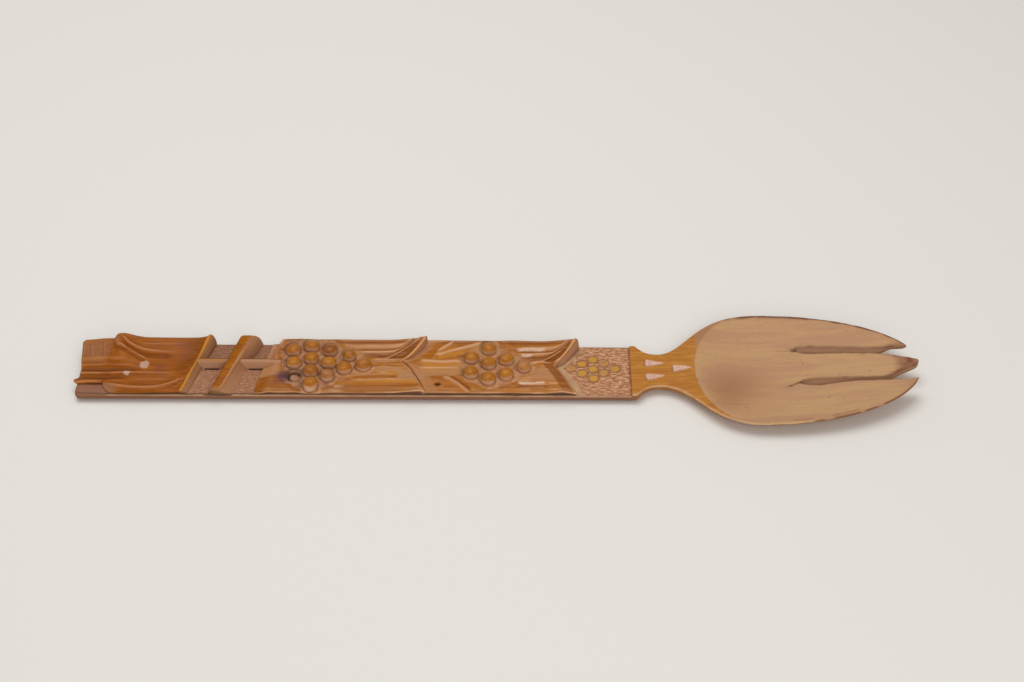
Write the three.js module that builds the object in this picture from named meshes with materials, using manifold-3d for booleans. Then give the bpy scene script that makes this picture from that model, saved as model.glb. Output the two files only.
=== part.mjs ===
// Carved wooden serving spork: a shallow three-tined bowl on a flat handle,
// with a vine relief of leaf panels, a cross bar, a stem and pegged grapes seated on the handle.
import * as THREE from "three";
import { mergeVertices } from "three/addons/utils/BufferGeometryUtils.js";
import Module from "manifold-3d";

const wasm = await Module();
wasm.setup();

// Driving dimensions in millimetres: +X runs to the tines, +Y to the far edge, Z = 0 is the table
const LENGTH = 298;
const TIP_X = LENGTH / 2;
const TAIL_X = -LENGTH / 2;

// Handle board: a flat strip with eased edges, a little wider at its free end
const BOARD_END_X = TAIL_X + 1.4;
const BOARD_END_WIDTH = 27;
const SHOULDER_X = 47.4;
const SHOULDER_WIDTH = 25.8;
const GROUND_HEIGHT = 3.4;
const UNDER_EDGE_HEIGHT = 2.1;
const UNDER_FLAT_SHARE = 0.81;
const TOP_EASE = 0.35;

// Neck: a step up from the ground, a waist, and three tapering chip cuts
const NECK_HEIGHT = 4.0;
const NECK_EDGE_HEIGHT = 3.1;
const NECK_FLAT_SHARE = 0.2;
const SHOULDER_END_X = 48.9;
const WAIST_X = 57;
const WAIST_WIDTH = 16.8;
const CHIP_LENGTH = 6.8;
const CHIP_WIDTH = 3.8;
const CHIP_DEPTH = 0.9;
const CHIP_HEADS = [[52.8, 3.5, 0], [52.9, -3.7, 0.14], [62.5, 0.7, 0]];

// Bowl: egg-shaped outline, shallow hollow, and a rim that climbs towards the tines
const BOWL_X = 93.3;
const BOWL_WIDTH = 56.4;
const BOWL_REACH = 56.2;
const HOLLOW_START_X = 69.8;
const HOLLOW_DEPTH = 2.6;
const HOLLOW_SHALLOWING = 0.8;
const HOLLOW_FADE_LENGTH = 42;
const NEAR_FLARE_TRIM = { x: 68.5, length: 6.5, depth: 1.2 };
const RIM_BAND = 0.8;
const RIM_EDGE = 0.6;
const RIM_THIN_LENGTH = 14;
const RIM_STEP = 0.95;
const RIM_STEP_END_X = 76;
const RIM_RISE = 3.1;
const KEEL_RISE_X = 96;
const KEEL_RISE = 5.4;

// Relief pieces seated on the ground of the handle
const RELIEF_INSET = 0.5;
const SEAT_GAP = 0.3;
const END_SLANT = 0.272;

// End scroll
const SCROLL_EDGE_X = -106.6;
const SCROLL_SETBACK = { x: -137.5, y: -8.5, run: 3.6, lead: 0.3 };
const SCROLL_TAIL = { lean: 2.1, hook: 2.1, hookShare: 0.33, floor: 0.9, farRim: 1.7, rise: 0.7, run: 8 };
const SCROLL_DISH = { run: 5, floor: 1.2, farRim: 3.2 };
const SCROLL_FOLD = { x: -138.2, slant: 0.5, bendY: 9.5, height: 2.3, rise: 2.3, crest: 3, fall: 5.5 };
const SCROLL_RIDGE = { y: -3.6, height: 0.55, width: 1, endX: -114 };
const SCROLL_LOBE = { x: -124.5, y: -11.2, tailReach: 13.1, tailRise: 2.1, lipReach: 12.5, lipRise: 3.5 };
const SCROLL_CREST = { height: 0.95, width: 1.2, edgeFall: 0.4 };
const SCROLL_LIP = { height: 0.9, middleRise: 0.8, farRise: 0.8, width: 1.9 };

// Cross bar and stem, halved into each other
const BAR_TOP_X = -93.4;
const BAR_NEAR_SLANT = 0.39;
const BAR_LEFT_INSET = 2.05;
const BAR_TOP_WIDTHS = { near: 3.8, far: 5.6 };
const BAR_FEET = { near: 3.8, far: 1.9 };
const BAR_LEFT_FOOT = 0.6;
const BAR_HEIGHT = 4.8;
const BAR_DROP = 2.9;
const BAR_END_DROP = 0.5;
const BAR_EDGE = 0.5;
const STEM_Y = 1.3;
const STEM_WIDTH = 1.8;
const STEM_HEIGHT = 3.4;
const STEM_END_X = -76.6;
const LAP_HEIGHT = 1.5;

// Leaf panels: where each starts, and the notch and tips of its swallow tail
const REAR_START_X = -83;
const REAR_TAIL = {
  notchX: -34, notchY: 2.3, farX: -24.6, nearX: -25, farBend: 0.72, nearBend: 0.7,
  farEdge: 3.2, flare: 2, bevelLength: 1.4, lead: 5,
};
const FRONT_TAIL = {
  notchX: 20.4, notchY: 1.3, farX: 28.8, nearX: 28.1, farBend: 0.8, nearBend: 0.8,
  farEdge: 2.8, flare: 1.6, bevelLength: 5, lead: 4.5,
};
const PANEL_CROWN = 2.5;
const PANEL_NEAR_EDGE = 0.9;
const PANEL_THINNEST = 0.45;
const START_DROPS = { near: 1.5, far: 2.4 };
const START_LENGTHS = { near: 5.5, far: 3 };
const TAIL_FLARE_LENGTH = 13;
const TAIL_BEVEL = 1.3;
const CREST_SLOPE = 0.9;
const GOUGE_DEPTH = 0.9;
const GOUGE_WIDTH = 2.4;
const FLUTE_DEPTH = 0.45;
const FLUTE_PITCH = 3.6;
const FLUTE_ROUNDS = 12;
const ROW_CROWDING = 0.5;
const VEIN_DEPTH = 0.42;
const VEIN_PITCH = 0.3;

// Grape pegs: columns of a bunch, standing in blind sockets
const GRAPE_RADIUS = 2.6;
const GRAPE_SIDE = 1.8;
const GRAPE_DOME = 1.6;
const SOCKET_CLEARANCE = 0.15;
const SOCKET_FLOOR = 0.8;
const BUNCH_BED = 0.6;
const REAR_BUNCH = {
  x: -72, columnPitch: 6.15, rowPitch: 6.4, counts: [3, 4, 3, 2, 1],
  middles: [0.9, 0, 0.8, 1.2, -0.3], leans: [0.12, 0.06, 0, -0.2, 0], empty: [0, 0],
};
const FRONT_BUNCH = {
  x: -9.2, columnPitch: 6.2, rowPitch: 7.6, counts: [2, 3, 2, 1],
  middles: [-0.1, 0.8, -0.8, -0.7], leans: [0, 0, 0, 0], empty: null,
};
const FLAT_BUNCH = {
  x: 26.6, columnPitch: 3.9, rowPitch: 4.9, counts: [1, 2, 3, 2, 1],
  middles: [0.5, 0.3, 0.1, 0.6, 0.3], leans: [0, 0, 0, 0, 0], empty: null,
};
const FLAT_GRAPE_RADIUS = 1.85;
const FLAT_GRAPE_HEIGHT = 0.45;

// Facets
const PEG_SIDES = 12;
const DOME_STEPS = 4;
const SCROLL_ROWS = 32;
const SCROLL_COLUMNS = 24;
const LEAF_ROWS = 26;
const LEAF_COLUMNS = 30;
const SEAT_CELLS = 4;

// Small shaping functions
const mix = (a, b, k) => a + (b - a) * k;
const clamp = THREE.MathUtils.clamp;
const ramp = (k) => THREE.MathUtils.smoothstep(k, 0, 1);
const bell = (distance, width) => Math.exp(-((distance / width) ** 2));
const point = (x, y) => new THREE.Vector2(x, y);

// Solids: three.js geometry to a closed body and back
function toSolid(geometry) {
  const bare = geometry.clone();
  bare.deleteAttribute("normal");
  bare.deleteAttribute("uv");
  const merged = mergeVertices(bare, 1e-4);
  const triVerts = new Uint32Array(merged.index.array);
  const vertProperties = new Float32Array(merged.attributes.position.array);
  return new wasm.Manifold(new wasm.Mesh({ numProp: 3, vertProperties, triVerts }));
}

function toGeometry(solid) {
  const { vertProperties, triVerts } = solid.getMesh();
  const geometry = new THREE.BufferGeometry();
  geometry.setAttribute("position", new THREE.Float32BufferAttribute(vertProperties, 3));
  geometry.setIndex(Array.from(triVerts));
  return geometry;
}

function indexedGeometry(positions, indices) {
  const geometry = new THREE.BufferGeometry();
  geometry.setAttribute("position", new THREE.Float32BufferAttribute(positions, 3));
  geometry.setIndex(indices);
  return geometry;
}

// Loft through rings of equal count, each running counter-clockwise seen from the last ring's side
function loft(rings) {
  const count = rings[0].length;
  const indices = [];
  for (let i = 0; i + 1 < rings.length; i += 1) {
    for (let j = 0; j < count; j += 1) {
      const a = i * count + j;
      const b = i * count + ((j + 1) % count);
      indices.push(a, b, b + count, a, b + count, a + count);
    }
  }
  for (const [start, flip] of [[0, true], [(rings.length - 1) * count, false]]) {
    for (let j = 1; j + 1 < count; j += 1) {
      const pair = [start + j, start + j + 1];
      indices.push(start, ...(flip ? pair.reverse() : pair));
    }
  }
  return indexedGeometry(rings.flat(2), indices);
}

// Flat seat under a relief: coarse cells, each fanned from a corner inside the patch
function seatTriangles(rows, columns, at) {
  const cuts = (count, parts) => Array.from({ length: parts + 1 }, (_, k) => Math.round((k * count) / parts));
  const run = (from, to, fine) => {
    const step = Math.sign(to - from);
    return fine ? Array.from({ length: Math.abs(to - from) }, (_, k) => from + k * step) : [from];
  };
  const rowCuts = cuts(rows, SEAT_CELLS);
  const columnCuts = cuts(columns, SEAT_CELLS);
  const indices = [];
  for (let a = 0; a < SEAT_CELLS; a += 1) {
    for (let b = 0; b < SEAT_CELLS; b += 1) {
      const [i0, i1, j0, j1] = [rowCuts[a], rowCuts[a + 1], columnCuts[b], columnCuts[b + 1]];
      const rim = [
        ...run(i0, i1, j0 === 0).map((i) => at(i, j0)),
        ...run(j0, j1, i1 === rows).map((j) => at(i1, j)),
        ...run(i1, i0, j1 === columns).map((i) => at(i, j1)),
        ...run(j1, j0, i0 === 0).map((j) => at(i0, j)),
      ];
      const hub = rim.indexOf(at(i0 === 0 ? i1 : i0, j0 === 0 ? j1 : j0));
      const fan = [...rim.slice(hub), ...rim.slice(0, hub)];
      for (let k = 1; k + 1 < fan.length; k += 1) indices.push(fan[0], fan[k + 1], fan[k]);
    }
  }
  return indices;
}

// Relief: a carved top over a four-sided patch, with upright walls down to a flat seat
function reliefSolid({ rows, columns, place, height }) {
  const carved = [];
  const seat = [];
  for (let i = 0; i <= rows; i += 1) {
    for (let j = 0; j <= columns; j += 1) {
      const [x, y] = place(i / rows, (2 * j) / columns - 1);
      carved.push(x, y, GROUND_HEIGHT + height(x, y));
      seat.push(x, y, GROUND_HEIGHT);
    }
  }
  const at = (i, j) => i * (columns + 1) + j;
  const below = (rows + 1) * (columns + 1);
  const indices = seatTriangles(rows, columns, at).map((k) => k + below);
  for (let i = 0; i < rows; i += 1) {
    for (let j = 0; j < columns; j += 1) {
      const corners = [at(i, j), at(i + 1, j), at(i + 1, j + 1), at(i, j + 1)];
      indices.push(corners[0], corners[1], corners[2], corners[0], corners[2], corners[3]);
    }
  }
  const border = [];
  for (let i = 0; i < rows; i += 1) border.push(at(i, 0));
  for (let j = 0; j < columns; j += 1) border.push(at(rows, j));
  for (let i = rows; i > 0; i -= 1) border.push(at(i, columns));
  for (let j = columns; j > 0; j -= 1) border.push(at(0, j));
  border.forEach((top, k) => {
    const next = border[(k + 1) % border.length];
    indices.push(top, top + below, next + below, top, next + below, next);
  });
  return toSolid(indexedGeometry([...carved, ...seat], indices));
}

// Upright prism over a plan outline, between two heights
function prism(shape, bottom, top) {
  const depth = top - bottom;
  const geometry = new THREE.ExtrudeGeometry(shape, { depth, bevelEnabled: false, curveSegments: 6 });
  geometry.translate(0, 0, bottom);
  return toSolid(geometry);
}

// Centres of a bunch, column by column, from the near edge to the far one; a column may lean
function bunchCentres({ x, columnPitch, rowPitch, counts, middles, leans }) {
  return counts.flatMap((count, column) => Array.from({ length: count }, (_, row) => {
    const y = middles[column] + (row - (count - 1) / 2) * rowPitch;
    return { x: x + column * columnPitch - leans[column] * y, y, column, row };
  }));
}

function isEmptySocket(bunch, { column, row }) {
  return bunch.empty !== null && bunch.empty[0] === column && bunch.empty[1] === row;
}

// Handle board
function boardHalf(x) {
  const share = (x - BOARD_END_X) / (SHOULDER_X - BOARD_END_X);
  return mix(BOARD_END_WIDTH, SHOULDER_WIDTH, share) / 2;
}

// Bowl heights along its middle and across it
function rimHeight(x) {
  const climb = Math.max(0, (x - WAIST_X) / (TIP_X - WAIST_X));
  return NECK_HEIGHT + RIM_STEP * ramp((x - WAIST_X) / (RIM_STEP_END_X - WAIST_X)) + RIM_RISE * climb ** 2.45;
}

function keelHeight(x) {
  return KEEL_RISE * Math.max(0, (x - KEEL_RISE_X) / (TIP_X - KEEL_RISE_X)) ** 1.25;
}

function hollowDepth(x, y, half) {
  const across = (y / (half - RIM_BAND)) ** 2;
  const along = x < BOWL_X ? ((BOWL_X - x) / (BOWL_X - HOLLOW_START_X)) ** 2 : 0;
  const inside = x < BOWL_X ? 1 - along - (y / (BOWL_WIDTH / 2 - RIM_BAND)) ** 2 : 1 - across;
  const fade = 1 - HOLLOW_SHALLOWING * ramp((x - BOWL_X) / HOLLOW_FADE_LENGTH);
  return HOLLOW_DEPTH * fade * Math.max(0, inside) ** 0.7;
}

// One cross section of the body: top from near to far, then the underside back again
const TOP_SHARES = [-1, -0.96, -0.88, -0.76, -0.62, -0.48, -0.32, -0.16, 0];
const UNDER_SHARES = [-1, -0.97, -0.91, -UNDER_FLAT_SHARE, -0.55, -0.28, 0];
const mirrored = (shares) => [...shares, ...shares.slice(0, -1).reverse().map((share) => -share)];

function bodySection(x, half, topHeight) {
  const neckShare = ramp((x - SHOULDER_X) / (WAIST_X - SHOULDER_X));
  const bowlShare = ramp((x - WAIST_X) / (BOWL_X - WAIST_X));
  const flat = mix(UNDER_FLAT_SHARE, NECK_FLAT_SHARE, neckShare) * (1 - bowlShare);
  const keel = keelHeight(x);
  const handleEdge = mix(UNDER_EDGE_HEIGHT, NECK_EDGE_HEIGHT, neckShare);
  const edge = mix(handleEdge, topHeight - RIM_EDGE, ramp((x - WAIST_X) / RIM_THIN_LENGTH));
  const trim = NEAR_FLARE_TRIM.depth * bell(x - NEAR_FLARE_TRIM.x, NEAR_FLARE_TRIM.length);
  const across = (share) => share * (share < 0 ? half - trim : half);
  const top = mirrored(TOP_SHARES).map((share) => {
    const ease = Math.abs(share) === 1 ? TOP_EASE * (1 - 0.7 * bowlShare) : 0;
    return [x, across(share), topHeight - ease - hollowDepth(x, share * half, half)];
  });
  const under = mirrored(UNDER_SHARES).map((share) => {
    const run = Math.max(0, (Math.abs(share) - flat) / (1 - flat));
    const round = 1 - Math.sqrt(Math.max(0, 1 - run ** 2));
    return [x, across(share), keel + (edge - keel) * mix(round, run ** 2, bowlShare)];
  });
  return [...under, ...top.reverse()];
}

function bodyStations() {
  const halves = { board: SHOULDER_WIDTH / 2, waist: WAIST_WIDTH / 2, bowl: BOWL_WIDTH / 2 };
  const shoulder = new THREE.CubicBezierCurve(
    point(SHOULDER_END_X, halves.board), point(SHOULDER_END_X + 1.4, halves.board - 0.4),
    point(WAIST_X - 5.7, halves.waist), point(WAIST_X, halves.waist));
  const flare = new THREE.CubicBezierCurve(
    point(WAIST_X, halves.waist), point(WAIST_X + 10.5, halves.waist),
    point(BOWL_X - 21.8, halves.bowl), point(BOWL_X, halves.bowl));
  const tipAngle = Math.acos((TIP_X - BOWL_X) / BOWL_REACH);
  const bowl = new THREE.EllipseCurve(BOWL_X, 0, BOWL_REACH, halves.bowl, Math.PI / 2, tipAngle, true);
  const curves = [shoulder.getPoints(7), flare.getPoints(13).slice(1), bowl.getPoints(17).slice(1)];
  const end = [[0, 0.9], [0.4, 0.35], [1.2, 0]].map(([inset, shrink]) => {
    const x = BOARD_END_X + inset;
    return { x, half: boardHalf(x) - shrink, top: GROUND_HEIGHT };
  });
  const step = [
    { x: SHOULDER_X - 0.15, half: boardHalf(SHOULDER_X), top: GROUND_HEIGHT },
    { x: SHOULDER_X, half: boardHalf(SHOULDER_X), top: NECK_HEIGHT },
  ];
  const rest = curves.flat().map(({ x, y }) => ({ x, half: y, top: rimHeight(x) }));
  return [...end, ...step, ...rest];
}

// Slots between the tines: narrow hand-cut slits with uneven edges that flare at the tips
function tineSlots() {
  const pastTip = TIP_X + 3;
  const near = new THREE.Shape();
  near.moveTo(104, -7);
  near.quadraticCurveTo(110, -8.6, 118, -6.9);
  near.quadraticCurveTo(124, -6.2, 132, -6.6);
  near.lineTo(pastTip, -6.9);
  near.lineTo(pastTip, 2);
  near.lineTo(142, -2.7);
  near.quadraticCurveTo(138, -5.4, 132, -5.1);
  near.quadraticCurveTo(124, -4.3, 114, -3.75);
  near.quadraticCurveTo(107, -3.4, 104, -7);
  const far = new THREE.Shape();
  far.moveTo(105.4, 11.5);
  far.quadraticCurveTo(107, 9.6, 113, 8.9);
  far.quadraticCurveTo(125, 8.1, 136, 6.7);
  far.quadraticCurveTo(143, 5.4, TIP_X, 2.9);
  far.lineTo(pastTip, 1.6);
  far.lineTo(pastTip, 8.1);
  far.lineTo(141, 9.9);
  far.quadraticCurveTo(136, 9.5, 129, 10.4);
  far.quadraticCurveTo(122, 11.6, 112, 12.7);
  far.quadraticCurveTo(106.4, 13.3, 105.4, 11.5);
  return [near, far].map((shape) => prism(shape, -1, 2 * RIM_RISE + NECK_HEIGHT));
}

// Chip cut: deep and wide at its head, tapering to a point towards the bowl
function chipCut([x, y, turn]) {
  const head = CHIP_WIDTH / 2;
  const rings = [[0, 1], [0.35, 0.75], [1, 0.04]].map(([along, share]) => [
    [along * CHIP_LENGTH, -head * share, CHIP_DEPTH],
    [along * CHIP_LENGTH, 0, -CHIP_DEPTH * share],
    [along * CHIP_LENGTH, head * share, CHIP_DEPTH],
  ]);
  const geometry = loft(rings);
  geometry.rotateZ(turn);
  geometry.translate(x, y, NECK_HEIGHT);
  return toSolid(geometry);
}

function flatGrape({ x, y }) {
  const height = FLAT_GRAPE_HEIGHT + UNDER_EDGE_HEIGHT;
  const disc = new THREE.CylinderGeometry(FLAT_GRAPE_RADIUS * 0.85, FLAT_GRAPE_RADIUS, height, 10);
  disc.rotateX(Math.PI / 2);
  disc.translate(x, y, GROUND_HEIGHT + FLAT_GRAPE_HEIGHT - height / 2);
  return toSolid(disc);
}

function sporkBody() {
  const rings = bodyStations().map(({ x, half, top }) => bodySection(x, half, top));
  let body = toSolid(loft(rings));
  for (const cutter of [...tineSlots(), ...CHIP_HEADS.map(chipCut)]) body = body.subtract(cutter);
  for (const centre of bunchCentres(FLAT_BUNCH)) body = body.add(flatGrape(centre));
  return body;
}

// End scroll: a dished leaf end with a fold, a lengthwise ridge and a raised slanting lip
const scrollEdge = (y) => SCROLL_EDGE_X + END_SLANT * y;

function scrollPlace(along, across) {
  const lean = SCROLL_TAIL.lean * Math.min(1, (1 - across) / (2 - SCROLL_TAIL.hookShare));
  const hook = SCROLL_TAIL.hook * Math.max(0, 1 - (1 + across) / SCROLL_TAIL.hookShare);
  const half = BOARD_END_WIDTH / 2 - RELIEF_INSET;
  const x = mix(TAIL_X + lean - hook, scrollEdge(across * half), along);
  const far = boardHalf(x) - RELIEF_INSET;
  const setback = ramp((x - SCROLL_SETBACK.x) / SCROLL_SETBACK.run + SCROLL_SETBACK.lead);
  return [x, mix(mix(SCROLL_SETBACK.y, -far, setback), far, (across + 1) / 2)];
}

// Fold that climbs steeply from the tail to the far peak and falls away slowly into the dish
function foldHeight(x, y) {
  const past = x - SCROLL_FOLD.x - SCROLL_FOLD.slant * Math.max(0, SCROLL_FOLD.bendY - y);
  const fall = bell(Math.max(0, past - SCROLL_FOLD.crest), SCROLL_FOLD.fall);
  return SCROLL_FOLD.height * ramp(past / SCROLL_FOLD.rise) * fall * ramp((y - 2) / 11);
}

function scrollHeight(x, y) {
  const dish = ramp((x - SCROLL_SETBACK.x) / SCROLL_DISH.run);
  const tailRim = SCROLL_TAIL.farRim + SCROLL_TAIL.rise * ramp((x - TAIL_X) / SCROLL_TAIL.run);
  const farRim = mix(tailRim, SCROLL_DISH.farRim, dish);
  const floor = mix(SCROLL_TAIL.floor, SCROLL_DISH.floor, dish);
  const wall = mix(ramp((y + 0.5) / 3), ramp((y - 1) / 12), dish);
  const ridgeFade = ramp((SCROLL_RIDGE.endX - x) / 8);
  const ridge = SCROLL_RIDGE.height * bell(y - SCROLL_RIDGE.y, SCROLL_RIDGE.width) * ridgeFade;
  const towardsTail = ((x - SCROLL_LOBE.x) / SCROLL_LOBE.tailReach) ** 2 * SCROLL_LOBE.tailRise;
  const towardsLip = ((x - SCROLL_LOBE.x) / SCROLL_LOBE.lipReach) ** 2 * SCROLL_LOBE.lipRise;
  const lobeCrest = SCROLL_LOBE.y + (x < SCROLL_LOBE.x ? towardsTail : towardsLip);
  const crestFade = ramp((SCROLL_EDGE_X - 2 - x) / 4);
  const crest = SCROLL_CREST.height * bell(y - lobeCrest, SCROLL_CREST.width) * crestFade;
  const edgeFall = SCROLL_CREST.edgeFall * ramp((lobeCrest - y) / 3);
  const toEdge = Math.max(0, scrollEdge(y) - x);
  const lipRise = SCROLL_LIP.middleRise * bell(y, 8) + SCROLL_LIP.farRise * ramp((y - 8) / 5);
  const lip = (SCROLL_LIP.height + lipRise) * Math.exp(-toEdge / SCROLL_LIP.width);
  return floor + (farRim - floor) * wall + foldHeight(x, y) + ridge + crest - edgeFall + lip;
}

function endScroll() {
  return reliefSolid({
    rows: SCROLL_ROWS,
    columns: SCROLL_COLUMNS,
    place: scrollPlace,
    height: scrollHeight,
  });
}

// Cross bar: a slanting bar, steep on its left, bevelled on its right, wider and higher at its far end
const barLeft = (y) => BAR_TOP_X - BAR_LEFT_INSET + (y > 0 ? END_SLANT : BAR_NEAR_SLANT) * y;

function barHeight(y) {
  return BAR_HEIGHT - BAR_DROP * ramp((5 - y) / 19) - BAR_END_DROP * ramp((y - 11) / 3);
}

function barSection(y, widen) {
  const farShare = ramp((y + 3) / 15);
  const left = barLeft(y) - widen;
  const right = barLeft(y) + mix(BAR_TOP_WIDTHS.near, BAR_TOP_WIDTHS.far, farShare) + widen;
  const foot = right + mix(BAR_FEET.near, BAR_FEET.far, farShare);
  const top = GROUND_HEIGHT + barHeight(y) + widen;
  return [
    [left - BAR_LEFT_FOOT, y, GROUND_HEIGHT], [left, y, top - BAR_EDGE], [left + BAR_EDGE, y, top],
    [right - BAR_EDGE, y, top], [right, y, top - BAR_EDGE], [foot, y, GROUND_HEIGHT],
  ];
}

function crossBarBlank(widen) {
  const reach = boardHalf(BAR_TOP_X) - RELIEF_INSET;
  const stops = [-1, -0.6, -0.25, 0, 0.25, 0.6, 0.88, 1];
  return toSolid(loft(stops.map((stop) => barSection(stop * reach, widen))));
}

// Stem: a thin rib from the scroll's lip, under the bar and into a housing in the rear leaf
function stemBlank(widen, startX, endX, height) {
  return reliefSolid({
    rows: 4,
    columns: 4,
    place: (along, across) => {
      const y = STEM_Y + across * (STEM_WIDTH / 2 + widen);
      return [mix(startX(y), endX, along), y];
    },
    height: (x, y) => height - 0.25 * Math.abs((y - STEM_Y) / (STEM_WIDTH / 2)) ** 4,
  });
}

function crossBar() {
  const notch = stemBlank(SEAT_GAP, (y) => scrollEdge(y), STEM_END_X, LAP_HEIGHT + SEAT_GAP);
  return crossBarBlank(0).subtract(notch.translate(0, 0, -0.01));
}

function stemRod() {
  const rod = stemBlank(0, (y) => scrollEdge(y) + SEAT_GAP, STEM_END_X, STEM_HEIGHT);
  const lapFloor = GROUND_HEIGHT + LAP_HEIGHT - SEAT_GAP;
  return rod.subtract(crossBarBlank(SEAT_GAP).trimByPlane([0, 0, 1], lapFloor));
}

// Leaf panels
function tailEdge(tail, y) {
  const far = y > tail.notchY;
  const reach = far ? boardHalf(tail.notchX) - tail.notchY : boardHalf(tail.notchX) + tail.notchY;
  const share = Math.min(1, Math.abs(y - tail.notchY) / reach);
  const tip = far ? tail.farX : tail.nearX;
  return mix(tail.notchX, tip, share ** (far ? tail.farBend : tail.nearBend));
}

// Plan of a leaf, with its rows closer together at both ends, where the carving is
function panelPlace(startEdge, tail) {
  return (along, across) => {
    const guess = across * boardHalf(tail.notchX);
    const crowded = along - (ROW_CROWDING * Math.sin(2 * Math.PI * along)) / (2 * Math.PI);
    const x = mix(startEdge(guess), tailEdge(tail, guess), crowded);
    return [x, across * (boardHalf(x) - RELIEF_INSET)];
  };
}

// Crest above the tail's gouge: it runs along the leaf, then climbs beside the far tail
function upperCrest(tail, x) {
  const past = x - tail.notchX + tail.lead;
  return tail.notchY + (CREST_SLOPE / 2) * (Math.hypot(past, 2) + past);
}

// Flute coordinate: distance above the upper crest, for flutes that bend later the farther out they are
function fluteLine(tail, x, y) {
  let line = y - tail.notchY;
  for (let round = 0; round < FLUTE_ROUNDS; round += 1) {
    line = mix(line, y - upperCrest(tail, x - CREST_SLOPE * line), 0.6);
  }
  return line;
}

// Gouge between the upper crest and the far tail's edge: 1 on its floor, 0 on both rims
function tailGouge(tail, x, y) {
  const climb = clamp((x - tail.notchX) / (tail.farX - tail.notchX), 0, 1) ** (1 / tail.farBend);
  const crest = upperCrest(tail, x);
  const width = Math.max(crest - mix(tail.notchY, boardHalf(tail.notchX), climb), 0.05);
  const share = clamp((crest - y) / width, 0, 1);
  return 4 * share * (1 - share) * Math.min(1, width / GOUGE_WIDTH);
}

// Slope down to the ground at the start of the rear leaf, shorter and steeper on the far side
function startDrop(x, y) {
  const farShare = ramp((y + 4) / 10);
  const length = mix(START_LENGTHS.near, START_LENGTHS.far, farShare);
  return mix(START_DROPS.near, START_DROPS.far, farShare) * (1 - ramp((x - rearStart(y)) / length));
}

// Shared leaf surface: crowned blade, bed under the bunch, swept flutes, and a flared and gouged tail
function leafHeight(x, y, tail, bunch) {
  const side = y / boardHalf(x);
  const farSide = ramp((y - tail.notchY) / 2.5);
  const crown = mix(PANEL_CROWN, side > 0 ? tail.farEdge : PANEL_NEAR_EDGE, side ** 4);
  const bunchX = bunch.x + (bunch.counts.length - 1.4) * bunch.columnPitch * 0.42;
  const bed = BUNCH_BED * bell((x - bunchX) / 14.5, 1) * bell(y / 10.5, 1);
  const toTail = tailEdge(tail, y) - x;
  const flare = tail.flare * farSide * Math.max(0, 1 - toTail / TAIL_FLARE_LENGTH) ** 2;
  const bevel = TAIL_BEVEL * (1 - farSide) * Math.max(0, 1 - toTail / tail.bevelLength);
  const line = fluteLine(tail, x, y);
  const twoFlutes = ramp(line / 0.8) * ramp((2 * FLUTE_PITCH - line) / 0.8);
  const fluted = farSide * ramp((x - bunchX - 12) / 6) * twoFlutes;
  const flutes = FLUTE_DEPTH * fluted * Math.abs(Math.sin((Math.PI * line) / FLUTE_PITCH));
  return crown - bed + flare - bevel - flutes - GOUGE_DEPTH * tailGouge(tail, x, y);
}

const rearStart = (y) => REAR_START_X + 0.17 * y;
const frontStart = (y) => tailEdge(REAR_TAIL, y) + SEAT_GAP;

// Veins that fan out from the point where the front leaf leaves the rear one
function veinHeight(x, y) {
  const out = x - REAR_TAIL.notchX + 6;
  const angle = Math.atan2(y - REAR_TAIL.notchY, out);
  const reach = ramp((x - REAR_TAIL.notchX - 2) / 6) * ramp((-12 - x) / 6);
  return VEIN_DEPTH * reach * Math.cos((2 * Math.PI * angle) / VEIN_PITCH);
}

function drillSockets(panel, bunch) {
  const drill = new THREE.CylinderGeometry(
    GRAPE_RADIUS + SOCKET_CLEARANCE, GRAPE_RADIUS + SOCKET_CLEARANCE, 10, PEG_SIDES);
  drill.rotateX(Math.PI / 2);
  let drilled = panel;
  for (const { x, y } of bunchCentres(bunch)) {
    const hole = drill.clone().translate(x, y, GROUND_HEIGHT + SOCKET_FLOOR + 5);
    drilled = drilled.subtract(toSolid(hole));
  }
  return drilled;
}

function rearLeafPanel() {
  const blank = reliefSolid({
    rows: LEAF_ROWS,
    columns: LEAF_COLUMNS,
    place: panelPlace(rearStart, REAR_TAIL),
    height: (x, y) => Math.max(PANEL_THINNEST, leafHeight(x, y, REAR_TAIL, REAR_BUNCH) - startDrop(x, y)),
  });
  const housing = stemBlank(SEAT_GAP, () => REAR_START_X - 6, STEM_END_X + SEAT_GAP, 2 * STEM_HEIGHT);
  return drillSockets(blank, REAR_BUNCH).subtract(housing.translate(0, 0, -0.5));
}

function frontLeafPanel() {
  const blank = reliefSolid({
    rows: LEAF_ROWS,
    columns: LEAF_COLUMNS,
    place: panelPlace(frontStart, FRONT_TAIL),
    height: (x, y) => Math.max(PANEL_THINNEST, leafHeight(x, y, FRONT_TAIL, FRONT_BUNCH) + veinHeight(x, y)),
  });
  return drillSockets(blank, FRONT_BUNCH);
}

// Grape peg: a short dowel with a domed head
function grapePeg({ x, y }) {
  const profile = [point(0, 0), point(GRAPE_RADIUS, 0)];
  for (let step = 0; step < DOME_STEPS; step += 1) {
    const angle = (step / DOME_STEPS) * (Math.PI / 2);
    profile.push(point(GRAPE_RADIUS * Math.cos(angle), GRAPE_SIDE + GRAPE_DOME * Math.sin(angle)));
  }
  profile.push(point(0, GRAPE_SIDE + GRAPE_DOME));
  const geometry = new THREE.LatheGeometry(profile, PEG_SIDES);
  geometry.rotateX(Math.PI / 2);
  geometry.translate(x, y, GROUND_HEIGHT + SOCKET_FLOOR + 0.05);
  return toSolid(geometry);
}

// Assembly
const COLOURS = { ground: 0xb07a4e, relief: 0xa8622a, bar: 0xa5652c, grape: 0xb87630 };
const spork = new THREE.Group();

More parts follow.
